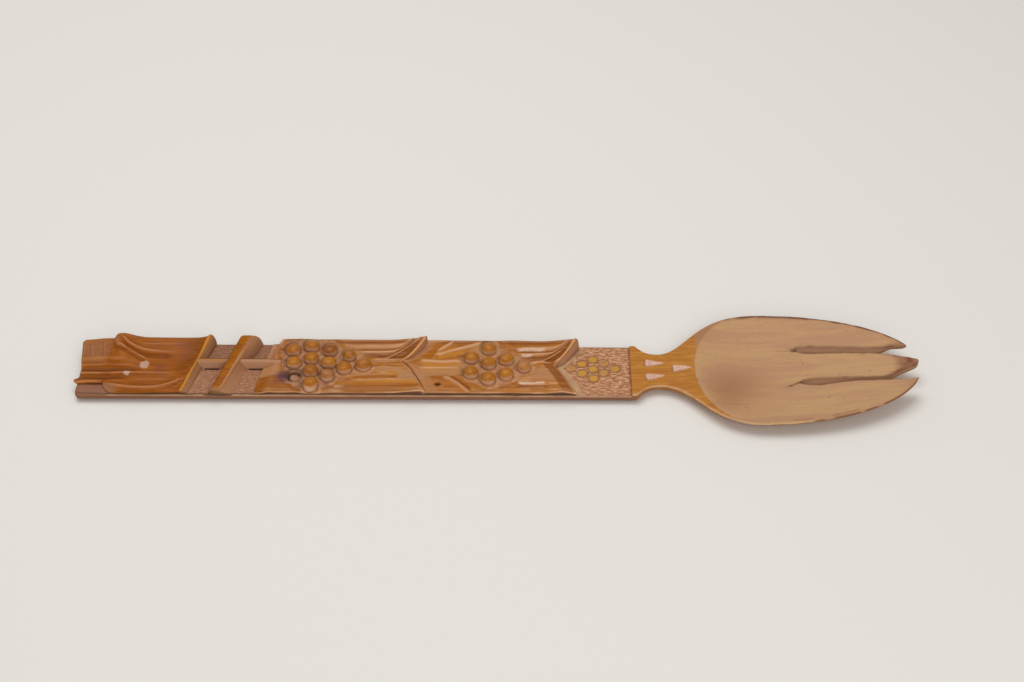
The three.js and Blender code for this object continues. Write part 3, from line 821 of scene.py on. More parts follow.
@dataclass
class SporkBody:
    """Handle board, neck and three-tined bowl: one board, made as three strips that part at the slots."""

    finish: BoardFinish
    under_edge: float = 2.1
    under_flat: float = 0.81
    neck_height: float = 4.0
    neck_edge: float = 3.1
    neck_flat: float = 0.2
    end_round_length: float = 1.2
    end_round_depth: float = 0.9
    shoulder_end_x: float = 48.9
    waist_x: float = 57.0
    waist_half: float = 8.4
    near_trim: Triple = (68.5, 6.5, 1.2)
    rim_step: float = 0.95
    rim_step_length: float = 18.0
    rim_climb: float = 3.1
    rim_power: float = 2.45
    keel_x: float = 96.0
    keel_lift: float = 5.4
    keel_power: float = 1.25
    bowl_x: float = 93.3
    bowl_half: float = 28.2
    bowl_reach: float = 56.2
    hollow_start_x: float = 69.8
    hollow_half: float = 29.0
    hollow_depth: float = 2.6
    rim_edge: float = 0.6
    varnish_end: float = 79.0
    varnish_fade: float = 6.0
    punch_x: float = 15.0
    # Darker spots on the hollow's near side: the wood's reddish patch and painted shade on its near wall
    shades: tuple[Spot, ...] = (Spot(84, -6.5, 11.5, 9), Spot(80, -15, 7, 8, 0.6))
    slot_starts: tuple[Plan, Plan] = ((106.6, -5.4), (106.4, 11.3))
    slot_routes: tuple[Route, ...] = (
        (((110, -8), (118, -6.9)), ((124, -6.2), (132, -6.6)), ((152, -6.9),)),
        (((108.5, -3.6), (114, -3.75)), ((124, -4.3), (132, -5.1)), ((138, -5.4), (142, -2.7)),
         ((149, 0.6),)),
        (((107.4, 9.4), (113, 8.9)), ((125, 8.1), (136, 6.7)), ((143, 5.4), (149, 2.9))),
        (((106.8, 13.2), (112, 12.7)), ((122, 11.6), (129, 10.4)), ((136, 9.5), (141, 9.9)),
         ((147, 8.9),)),
    )
    hook: Plan = (100.4, -7.3)
    tip_x: Triple = (147.5, 148.95, 145.9)
    tip_round: float = 1.6
    part_x: float = 107.0
    wall_rings: tuple[float, ...] = (0.12, 0.35, 0.65, 0.88)
    chips: tuple[Triple, ...] = ((52.8, 3.5, 0), (52.9, -3.7, 0.14), (62.5, 0.7, 0))
    chip_length: float = 6.8
    chip_depth: float = 0.9
    flat_strengths: tuple[float, ...] = (0.35, 0.9, 0.95, 1, 0.95, 0.9, 0.5, 0.45, 0.8)
    slits: tuple[Plan, ...] = ((-104.2, -98.4), (-88.6, -82.2))

    def __post_init__(self) -> None:
        """Lay out the plan curves: the outline's half width and the two edges of each slot."""
        angle = np.linspace(math.pi / 2, 0, 200)
        rim_x = self.bowl_x + self.bowl_reach * np.cos(angle)
        rim = np.stack([rim_x, self.bowl_half * np.sin(angle)], axis=1)
        shoulder = bezier(
            (self.shoulder_end_x, SHOULDER_HALF), (self.shoulder_end_x + 1.4, SHOULDER_HALF - 0.4),
            (self.waist_x - 5.7, self.waist_half), (self.waist_x, self.waist_half))
        flare = bezier(
            (self.waist_x, self.waist_half), (self.waist_x + 10.5, self.waist_half),
            (self.bowl_x - 21.8, self.bowl_half), (self.bowl_x, self.bowl_half))
        self.outline = chain(shoulder, flare, rim)
        near, far = self.slot_starts
        starts = (near, near, far, far)
        self.slot_edges = [route(start, pieces) for start, pieces in zip(starts, self.slot_routes)]

    def half(self, x: Array) -> Array:
        """Half width on the far side: board taper, shoulder, flare, then the bowl's ellipse."""
        from_end = held((x - BOARD_END_X) / self.end_round_length)
        rounding = self.end_round_depth * (1 - from_end) ** 2
        return np.where(x < self.shoulder_end_x, board_half(x) - rounding, self.outline(x))

    def near_half(self, x: Array) -> Array:
        """Half width on the near side, trimmed a little along the flare."""
        place, length, depth = self.near_trim
        return self.half(x) - depth * bell(x - place, length)

    def side_half(self, x: Array, y: Array) -> Array:
        """Half width on the side where a place lies."""
        return np.where(y < 0, self.near_half(x), self.half(x))

    def edge_distance(self, x: Array, y: Array) -> Array:
        """Distance across to the outline."""
        return np.clip(self.side_half(x, y) - np.abs(y), 0, None)

    def bowl_share(self, x: Array) -> Array:
        """Share of the way from the neck's section to the bowl's."""
        return after(x, self.waist_x, self.bowl_x - self.waist_x)

    def past_varnish(self, x: Array) -> Array:
        """Share of the way from the varnished neck to the bare bowl."""
        return after(x, self.varnish_end, self.varnish_fade)

    def rim(self, x: Array) -> Array:
        """Height of the rim: a small rise past the waist and a growing climb to the tips."""
        climb = np.clip((x - self.waist_x) / (TIP_X - self.waist_x), 0, None)
        step = self.rim_step * after(x, self.waist_x, self.rim_step_length)
        return self.neck_height + step + self.rim_climb * climb**self.rim_power

    def keel(self, x: Array) -> Array:
        """Height of the underside's middle line, lifting off the table under the tines."""
        share = np.clip((x - self.keel_x) / (TIP_X - self.keel_x), 0, None)
        return self.keel_lift * share**self.keel_power

    def inside(self, x: Array, y: Array) -> Array:
        """How far a place is inside the hollow's border: 1 in the middle, 0 on the border."""
        half = np.maximum(self.half(x) - 0.8, 0.5)
        rear = 1 - ((self.bowl_x - x) / (self.bowl_x - self.hollow_start_x)) ** 2
        return np.where(x < self.bowl_x, rear - (y / self.hollow_half) ** 2, 1 - (y / half) ** 2)

    def hollow(self, x: Array, y: Array) -> Array:
        """Depth of the hollow, steep at its border and thinning out towards the tines."""
        thinning = 1 - 0.8 * after(x, self.bowl_x, 42)
        inside = np.clip(self.inside(x, y), 0, None)
        rim = ramp(self.edge_distance(x, y) / 1.4)
        return self.hollow_depth * thinning * inside**0.7 * mix(0.35, 1, rim)

    def chip(self, x: Array, y: Array) -> Array:
        """Tapered cuts on the neck: deep and wide at the head, closing to a point towards the bowl.

        Args:
            x: places along the handle.
            y: places across it.

        Returns:
            Depths.
        """
        depth = blank(x, y)
        for head_x, head_y, turn in self.chips:
            along = ((x - head_x) * math.cos(turn) + (y - head_y) * math.sin(turn)) / self.chip_length
            across = (y - head_y) * math.cos(turn) - (x - head_x) * math.sin(turn)
            share = 1 - held(along) ** 1.6
            ragged = along + 0.05 * (noise(y / 0.7, 0, 6) - 0.5)
            cut = (self.chip_depth * share - np.abs(across) * 0.5) * after(ragged, -0.05, 0.06)
            depth = np.maximum(depth, np.clip(cut, 0, None))
        return depth

    def chip_low(self, x: Array, y: Array) -> Array:
        """Near half of the neck cuts, which lies in their own shade."""
        low = blank(x, y) > 0
        for head_x, head_y, turn in self.chips:
            beside = (x > head_x - 1) & (x < head_x + self.chip_length + 1) & (np.abs(y - head_y) < 3)
            low |= beside & (y < head_y - 0.3 + math.tan(turn) * (x - head_x))
        return low.astype(float)

    def run_out(self, x: Array, y: Array) -> Array:
        """Marks where the slots start: a hooked knife line up to the near one, a knot at the far one."""
        (near_x, near_y), (far_x, far_y) = self.slot_starts
        share = held((x - self.hook[0]) / (near_x - self.hook[0]))
        line = mix(self.hook[1], near_y, ramp(share) * share)
        hook = gap(self.hook[0], near_x + 1.5, 0.8, x) * fade(np.abs(y - line), 0.45)
        crack = 0.35 * gap(far_x - 9, far_x, 3, x) * fade(np.abs(y - far_y + 0.5), 0.3)
        knot = bell(np.hypot((x - far_x + 0.2) / 1.6, y - far_y), 0.8)
        return np.maximum.reduce([hook, crack, knot])

    def slit(self, x: Array, y: Array) -> Array:
        """Knife slits in the ground at the foot of the stem, painted dark as shade in the cuts."""
        line = sum(gap(low, high, 0.8, x) for low, high in self.slits)
        return line * held(1.5 - np.abs(y) / 0.42)

    def slot_lean(self, tine: Tine, x: Array) -> Array:
        """How far the foot of a tine's near wall leans into the slot beside it, less towards the tips."""
        if tine is Tine.NEAR:
            return np.zeros(x.shape)
        start = self.slot_starts[tine.value - 1][0]
        low, high = self.slot_edges[2 * tine.value - 2 : 2 * tine.value]
        return 0.75 * np.clip(high(x) - low(x), 0, 3) * after(x, start, 1.5) * before(x, 141, 8)

    def slot_distance(self, x: Array, y: Array) -> Array:
        """Distance across to the closest open slot edge, large where no slot is open."""
        distance = blank(x, y) + 9
        for (start, _), pair in zip(self.slot_starts, (self.slot_edges[:2], self.slot_edges[2:])):
            for edge in pair:
                distance = np.where(x > start, np.minimum(distance, np.abs(y - edge(x))), distance)
        return distance

    def flat_grapes(self, x: Array, y: Array) -> Array:
        """Low golden grapes left standing in the punched ground, some of them nearly worn away."""
        cover = blank(x, y)
        ragged = 0.35 * (noise(x / 1.3, y / 1.3, 15) - 0.5)
        for (cx, cy), strength in zip(FLAT_BUNCH.centres(True), self.flat_strengths):
            reach = np.hypot(x - cx, y - cy) + ragged
            cover = np.maximum(cover, strength * before(reach, 2.05, 0.7))
        return cover

    def band_fade(self, x: Array) -> Array:
        """Share of the pale band along the board's edge, wear and a painted highlight, which fades out at
        the free end.
        """
        return mix(0.25, 1, after(x, -139, 5))

    def seam_line(self, x: Array, y: Array, edge: Array) -> Array:
        """Painted shadow line where the relief sits on the board, thicker and farther out beside the bar.
        """
        beside_bar = gap(-103, -92, 1, x)
        wander = 0.5 * (noise(x / 6, 0, 14) - 0.5)
        line = bell(edge - mix(0.62, 0.25, beside_bar) + wander, mix(0.2, 0.4, beside_bar))
        return line * (y < 0) * (x < 28)

    def ground(self, x: Array, y: Array) -> tuple[Array, Values]:
        """Upper surface of the handle board: plain under the relief, punched towards the neck.

        Args:
            x: places along the handle.
            y: places across it.

        Returns:
            Heights and masks.
        """
        edge = self.edge_distance(x, y)
        flat = self.flat_grapes(x, y)
        from_tail = x - FRONT_TAIL.edge(y)
        halo = before(from_tail - noise(x, y, 8), 3.6, 1.6) * (from_tail > 0)
        right = after(x, self.punch_x, 2) * after(edge, 0.3, 0.8) * (1 - flat)
        left = gap(-112, -72, 2, x) * after(edge, 0.6, 0.8)
        slit = self.slit(x, y)
        ease = 0.55 * fade(edge, 1) ** 2
        height = GROUND - 0.15 * right + 0.3 * flat - 0.6 * slit - ease
        # Painted shade: a line at the step up to the neck, the flat grapes' upper-left edges, the far
        # ground at the end
        outline = fade(np.abs(FLAT_BUNCH.nearest(x + 0.25, y - 0.3) - 1.95), 0.5) * (x > 24)
        step_line = bell(x - SHOULDER_X + 0.3, 0.4) * mix(0.4, 1, noise(y / 0.9, 0, 2))
        shaded = 0.32 * after(y, 2, 2) * (x < -70)
        masks = {
            "punch": held(right * (1 - 0.7 * halo) + 0.3 * left),
            "flat": 0.9 * flat,
            "rim": held(0.8 * step_line * (edge > 0.4) + 0.6 * outline + shaded),
            # Painted shade in the slits and along the relief's seam
            "grime": held(slit + 0.85 * self.seam_line(x, y, edge)),
            # Pale band along the edge, wear and a painted highlight on the rounded edge, and the pale halo
            # by the tail
            "worn": held(np.maximum((1.2 - edge / 0.8) * self.band_fade(x), halo)),
        }
        return height, masks

    def rim_marks(self, x: Array, y: Array, edge: Array) -> Pair:
        """Dark marks along the bowl's rim, and pale ones along its near side, part wear and part painted
        highlight.

        Args:
            x: places along the handle.
            y: places across it.
            edge: distance to the outline.

        Returns:
            Dark and pale marks.
        """
        near = y < 0
        line = held(1.5 - edge / np.where(near, 0.5, 0.85)) * after(x, np.where(near, 104, 84), 8)
        worn_through = bell(x - 89, 3) + bell(x - 108, 5)
        chipped = held(np.maximum(after(noise(x / 2.6, y * 0.2, 8), 0.5, 0.15), worn_through))
        spots = held(1.4 - edge / 1.2) * chipped * after(x, 80, 6) * (~near)
        dashes = after(noise(x / 2.2, y * 0.1, 27), 0.4, 0.2) * near * gap(97, 127, 4, x)
        spotted = np.maximum(1 - after(x, 92, 6), after(noise(x / 1.8, y * 0.3, 18), 0.45, 0.2))
        pale = held(1.3 - edge / 0.9) * near * spotted * (1 - after(x, 138, 6))
        return 0.85 * line + 0.8 * spots + 0.55 * dashes * bell(edge - 1.6, 0.4), pale

    def spoon(self, x: Array, y: Array) -> tuple[Array, Values]:
        """Upper surface of the neck and bowl: varnished up to the hollow, bare and worn beyond.

        Args:
            x: places along the handle.
            y: places across it.

        Returns:
            Heights and masks.
        """
        edge = self.edge_distance(x, y)
        inside = self.inside(x, y)
        bowl_share = self.bowl_share(x)
        cut = self.chip(x, y)
        run_out = self.run_out(x, y)
        slot_gap = self.slot_distance(x, y)
        broken = noise(x / 1.3, y * 0.1, 21) * ridges(x / 7, y * 0.05, 12)
        ease = mix(0.4, 0.2, bowl_share) * fade(edge, 0.9) ** 2
        ease = ease + 0.2 * bowl_share * broken * fade(edge, 0.7)
        slot_ease = 0.35 * fade(slot_gap, 0.8) ** 2 * (0.5 + noise(x / 2, y, 3))
        tool = 0.1 * (noise(x / 9, y / 3.2, 31) - 0.5) * ramp(inside / 0.3)
        height = self.rim(x) - self.hollow(x, y) - cut - 0.9 * run_out - slot_ease + tool - ease
        flank = after(x, self.hollow_start_x, 3) * after(y, 5, 6)
        varnish = (1 - ramp(inside / 0.02) * (x > self.hollow_start_x)) * (1 - 0.6 * flank)
        varnish = varnish * (1 - self.past_varnish(x))
        dark_rim, pale_rim = self.rim_marks(x, y, edge)
        bevel = fade(inside, 0.22) * (inside > 0) * (x < self.bowl_x)
        specks = after(noise(x / 1.7, y / 1.1, 46), 0.965, 0.02) * ramp(inside / 0.1)
        # Painted shade at the chips' heads and on their near halves, laid on with the rim colour
        chip_head = (self.chip(x + 0.45, y) > 0.1) & (cut < 0.05)
        chip_shade = ramp(cut / 0.6) * self.chip_low(x, y) * noise(x / 0.9, y / 0.9, 5)
        tine = np.where(y < -5.5, 0.13, np.where(y > 7.5, 0.585, 1))
        tip = after(x + 3 * (slot_gap < 1.2), 139, 6) * mix(0.55, 1, noise(x / 2, y / 2, 3))
        # Painted shade: a dark line along the slot edges
        slot_line = bell(slot_gap - 0.15, 0.25) * noise(x / 2.5, y, 9)
        shoulder_wear = gap(47, 51.5, 1.5, x) * noise(x / 2, y / 2, 33)
        masks = {
            "varnish": varnish,
            "bare": 1 - varnish,
            # The spots darken the hollow's near side, part painted shade; lighter along its border; darker
            # on the far flank
            "patch": held(0.65 * added(self.shades, x, y) - 0.35 * bevel + 0.45 * flank * (inside < 0)),
            "cut": ramp(cut / 0.12) * mix(0.8, 1, noise(x / 0.8, y / 0.5, 4)),
            "slot": 0.5 * fade(slot_gap, 0.6),
            "tip": tine * tip,
            # Dark rim marks, and painted shade at the neck chips
            "rim": held(dark_rim + 0.45 * chip_shade + 0.45 * chip_head),
            # Pale near rim, wear and painted highlight, and wear at the shoulder
            "worn": held(pale_rim + 0.5 * shoulder_wear),
            "grime": held(0.8 * run_out + 0.6 * slot_line + 0.6 * specks),
        }
        return height, masks

    def top(self, x: Array, y: Array) -> tuple[Array, Values]:
        """Upper surface and its masks.

        Args:
            x: places along the body.
            y: places across it.

        Returns:
            Heights, and the named masks of the finish.
        """
        x, y = np.broadcast_arrays(x, y)
        handle = x < SHOULDER_X - 0.05
        ground, ground_masks = self.ground(x, y)
        spoon, spoon_masks = self.spoon(x, y)
        masks = {
            name: np.where(handle, ground_masks.get(name, 0), spoon_masks.get(name, 0))
            for name in (*ground_masks, *spoon_masks)
        }
        return np.where(handle, ground, spoon), masks

    def under(self, x: Array, y: Array) -> Array:
        """Underside: flat under the handle, rounded to the edges, and a round keel under the bowl.

        Args:
            x: places along the handle.
            y: places across it.

        Returns:
            Heights.
        """
        share = held(np.abs(y) / self.side_half(x, y))
        neck_share = after(x, SHOULDER_X, self.waist_x - SHOULDER_X)
        bowl_share = self.bowl_share(x)
        flat = mix(self.under_flat, self.neck_flat, neck_share) * (1 - bowl_share)
        handle_edge = mix(self.under_edge, self.neck_edge, neck_share)
        top = np.where(x < SHOULDER_X, GROUND, self.rim(x))
        edge = mix(handle_edge, top - self.rim_edge, after(x, self.waist_x, 14))
        run = held((share - flat) / (1 - flat))
        rounded = mix(1 - np.sqrt(1 - run**2), run**2, bowl_share)
        return mix(self.keel(x), edge, rounded)

    def stations(self) -> Array:
        """Stations along the body, close together where the carving is fine."""
        near, far = (start for start, _ in self.slot_starts)
        runs = (
            (BOARD_END_X, -146.4, 5), (-146.4, -109, 22), (-109, -75, 136), (-75, self.punch_x, 42),
            (self.punch_x, SHOULDER_X - 0.15, 166), (SHOULDER_X, 58, 46), (58, near, 96),
            (near, far, 4), (far, 143, 80), (143, TIP_X, 24),
        )
        return np.unique(np.concatenate([np.linspace(*run) for run in runs]))

    def strip(self, tine: Tine, stations: Array) -> tuple[Array, Array, Array]:
        """Plan of one strip.

        Args:
            tine: the tine that the strip ends in.
            stations: stations along the body.

        Returns:
            Places along the strip, and its near and far edges there.
        """
        tip = self.tip_x[tine.value]
        stretch = (tip - self.part_x) / (TIP_X - self.part_x)
        x = np.where(stations > self.part_x, self.part_x + (stations - self.part_x) * stretch, stations)
        edges = [-self.near_half(x)]
        for slot, (start_x, start_y) in enumerate(self.slot_starts):
            half = (self.near_half, self.half)[slot]
            line = half(x) * start_y / half(np.array(start_x))
            edges += [np.where(x > start_x, self.slot_edges[2 * slot + side](x), line) for side in (0, 1)]
        edges.append(self.half(x))
        low, high = edges[2 * tine.value : 2 * tine.value + 2]
        to_tip = np.clip((x - tip + self.tip_round) / self.tip_round, 0, 0.985)
        middle = (low + high) / 2
        width = np.maximum(high - low, 0.9) * np.sqrt(1 - to_tip**2)
        round_off = x > tip - self.tip_round
        low = np.where(round_off, middle - width / 2, low)
        return x, low, np.where(round_off, middle + width / 2, high)

    def wall_masks(self, x: Array, share: float, outer: bool) -> Values:
        """Masks of a wall at one share of its depth: the outline's edge, or the side of a slot.

        Args:
            x: places along the handle.
            share: share of the depth.
            outer: whether the wall belongs to the outline.

        Returns:
            The named masks.
        """
        if not outer:
            # Painted shade lines at the top and the foot of the slot walls
            lines = 0.55 * bell(share, 0.15) + 0.7 * after(share, 0.75, 0.2)
            return {"slot": np.array(0.95), "bare": np.array(1), "grime": np.array(lines)}
        neck = after(x, SHOULDER_X, 2) * (1 - self.past_varnish(x))
        return {
            "varnish": 0.7 * neck,
            "bare": self.past_varnish(x),
            # Dark bowl edges, and painted shade on the neck's sides and the lower part of the handle's
            # sides
            "rim": 0.75 * after(x, 84, 10) + 0.45 * neck + 0.55 * share * (x < SHOULDER_X),
            # Paler upper part of the handle's sides: wear and a painted highlight on the rounded edge
            "worn": 0.55 * (1 - share) * (x < self.bowl_x) * self.band_fade(x),
        }

    def wall(self, mesh: ClosedMesh, upper: Array, lower: Array, side: float, outer: bool) -> Array:
        """Rings of points between a top edge and the underside's edge below it.

        Args:
            mesh: the body's mesh.
            upper: indices along the top edge.
            lower: indices along the underside's edge.
            side: -1 for a wall that faces the near edge, 1 for the far one.
            outer: whether the wall belongs to the outline.

        Returns:
            Index grid, one row for each ring from the top edge to the lower one.
        """
        points = np.concatenate(mesh.points)
        rings = [upper]
        for share in self.wall_rings:
            x, y, z = mix(points[upper], points[lower], share).T
            swell = 0.14 if outer else 0.12 * (noise(x / 3, share * 4, 4) - 0.5)
            y = y + side * swell * math.sin(math.pi * share)
            rings.append(mesh.add_points(x, y, z, self.wall_masks(x, share, outer)))
        return np.array([*rings, lower])

    def build(self) -> Piece:
        """Make the body: three strips with a top and an underside, sewn together up to the slots."""
        mesh = ClosedMesh()
        stations = self.stations()
        border = np.array([0, 0.014, 0.034, 0.062, 0.096])
        shares = np.concatenate([border, np.linspace(0.13, 0.87, 30), 1 - border[::-1]])
        under_shares = np.array([0, 0.03, 0.08, 0.16, 0.3, 0.5, 0.7, 0.84, 0.92, 0.97, 1])
        opened = [int(np.searchsorted(stations, start)) for start, _ in self.slot_starts]
        tops, unders = [], []
        for tine in Tine:
            x, low, high = (line[:, None] for line in self.strip(tine, stations))
            y = mix(low, high, shares[None, :])
            height, masks = self.top(x, y)
            top = mesh.add_points(x, y, height, masks)
            y = mix(low - self.slot_lean(tine, x), high, under_shares[None, :])
            level = np.minimum(self.under(x, y), self.top(x, y)[0] - 0.3)
            edge = self.edge_distance(x, y)
            varnish = 0.85 * np.maximum(after(edge, 2, 3), after(x, SHOULDER_X, 4))
            under = mesh.add_points(x, y, level, {"varnish": varnish})
            if tine is not Tine.NEAR:
                sewn = opened[tine.value - 1] + 1
                top[:sewn, 0] = tops[-1][:sewn, -1]
                under[:sewn, 0] = unders[-1][:sewn, -1]
            tops.append(top)
            unders.append(under)
            mesh.add_grid(top)
            mesh.add_grid(under[:, ::-1])
        near = [self.wall(mesh, tops[k][:, 0], unders[k][:, 0], -1, k == 0) for k in range(3)]
        far = [self.wall(mesh, tops[k][:, -1], unders[k][:, -1], 1, k == 2) for k in range(3)]
        for slot, start in enumerate(opened):
            near[slot + 1][1:-1, start] = far[slot][1:-1, start]
        for wall, start in zip(near, (0, *opened)):
            mesh.add_grid(wall[::-1, start:].T)
        for wall, start in zip(far, (*opened, 0)):
            mesh.add_grid(wall[:, start:].T)
        upper = np.concatenate([tops[0][0], tops[1][0][1:], tops[2][0][1:]])
        lower = np.concatenate([unders[0][0], unders[1][0][1:], unders[2][0][1:]])
        mesh.add_cap(np.concatenate([upper, far[2][1:-1, 0], lower[::-1], near[0][-2:0:-1, 0]]))
        for top, under, left, right in zip(tops, unders, near, far):
            mesh.add_cap(np.concatenate([top[-1][::-1], left[1:-1, -1], under[-1], right[-2:0:-1, -1]]))
        return mesh.to_object("carved_body", "spork_body", self.finish.material())


# Relief


@dataclass
class ReliefPiece(ABC):
    """A carving over a four-sided patch of the ground, with cut walls and a flat seat."""

    finish: ReliefFinish
    rows: int = 230
    columns: int = 120
    ease_depth: float = 0.3
    ease_width: float = 0.7
    end_foot: float = 0.0
    wall_rings: tuple[Plan, ...] = ((0.15, 0), (0.4, 0.02), (0.65, 0.06), (0.85, 0.14), (1, 0.3))
    name: str = ""
    node: str = ""

    @abstractmethod
    def place(self, along: Array, across: Array) -> Pair:
        """Plan of the patch: along runs 0 to 1 towards the tines, across -1 to 1 towards the far edge.

        Args:
            along: share of the length, from 0 to 1.
            across: share of the width, from -1 to 1.

        Returns:
            Places along the handle and across it.
        """

    @abstractmethod
    def height(self, x: Array, y: Array) -> Array:
        """Height of the carving above the ground.

        Args:
            x: places along the handle.
            y: places across it.

        Returns:
            Heights.
        """

    @abstractmethod
    def masks(self, x: Array, y: Array) -> Values:
        """Masks of the finish that belong to this carving alone.

        Args:
            x: places along the handle.
            y: places across it.

        Returns:
            The named masks.
        """

    def contrast(self, x: Array, y: Array) -> Array:
        """How strongly crests and hollows show in the finish."""
        return blank(x, y) + 1

    def end_run(self, y: Array) -> Array:
        """How far the foot of the end wall runs out past its top."""
        return np.full(y.shape, self.end_foot)

    def walls(self, mesh: ClosedMesh, top: Array, along: Array, across: Array, reach: float) -> Array:
        """Rings of wall points round the patch, drawn in at the seat so that a dark seam shows.

        Args:
            mesh: the carving's mesh.
            top: indices of the top surface.
            along: patch place of its rows.
            across: patch place of its columns.
            reach: mean length of the patch.

        Returns:
            Index grid, one row for each ring from the top edge down.
        """
        def rim(grid: Array) -> Array:
            """Border of a grid, counter-clockwise from the near end of the first row."""
            return np.concatenate([grid[:-1, 0], grid[-1, :-1], grid[:0:-1, -1], grid[0, :0:-1]])

        edge = rim(top)
        rim_along, rim_across = (rim(np.broadcast_to(part, top.shape)) for part in (along, across))
        level = np.concatenate(mesh.points)[edge, 2]
        end = held(1 - (1 - rim_along) * reach / 1.5)
        near_side = (rim_across < -0.999) * (1 - end)
        rings = [edge]
        for drop, inset in self.wall_rings:
            inner = 0.5 + (rim_along - 0.5) * (1 - 2 * inset / reach)
            x, y = self.place(inner, rim_across * (1 - inset / BOARD_END_HALF))
            x = x + self.end_run(y) * end * drop ** mix(1.2, 0.4, after(y, 2, 9))
            # Painted shade at the foot of the walls and over the near side's wall
            seam = mix(0.9, 0.3, end) * after(drop, 0.6, 0.4)
            masks = {"bare": np.array(0.95), "grime": np.maximum(seam, 0.7 * near_side)}
            rings.append(mesh.add_points(x, y, mix(level, GROUND, drop), masks))
        return np.array(rings)

    def build(self) -> Piece:
        """Make the carving: its top as a height over the patch, its walls, and its seat as one face."""
        mesh = ClosedMesh()
        along = np.linspace(0, 1, self.rows + 1)[:, None]
        border = np.array([-1, -0.993, -0.982, -0.966, -0.945])
        middle = np.linspace(-0.92, 0.92, self.columns - 9)
        across = np.concatenate([border, middle, -border[::-1]])[None, :]
        x, y = self.place(along, across)
        reach = float(np.hypot(x[-1] - x[0], y[-1] - y[0]).mean())
        edge = np.minimum((1 - np.abs(across)) * board_half(x), np.minimum(along, 1 - along) * reach)
        height = self.height(x, y) - self.ease_depth * fade(edge, self.ease_width) ** 2
        height = np.maximum(height, 0.3)
        detail = (height - soften(height, 5)) * self.contrast(x, y)
        masks = self.masks(x, y)
        # Lighter on convex crests and darker in concave hollows: varnish wear, and painted highlight and
        # shade
        for name, share in (("crest", detail / 0.2), ("valley", -detail / 0.22)):
            masks[name] = np.maximum(0.75 * held(share), masks.get(name, 0))
        top = mesh.add_points(x, y, GROUND + height, masks)
        mesh.add_grid(top)
        rings = self.walls(mesh, top, along, across, reach)
        mesh.add_grid(np.concatenate([rings, rings[:, :1]], axis=1)[::-1])
        mesh.add_cap(rings[-1][::-1])
        return mesh.to_object(self.name, self.node, self.finish.material())


SCROLL_EDGE_X = -106.6


def scroll_edge(y: Number) -> Number:
    """Slanting end of the scroll, at its raised lip."""
    return SCROLL_EDGE_X + END_SLANT * y


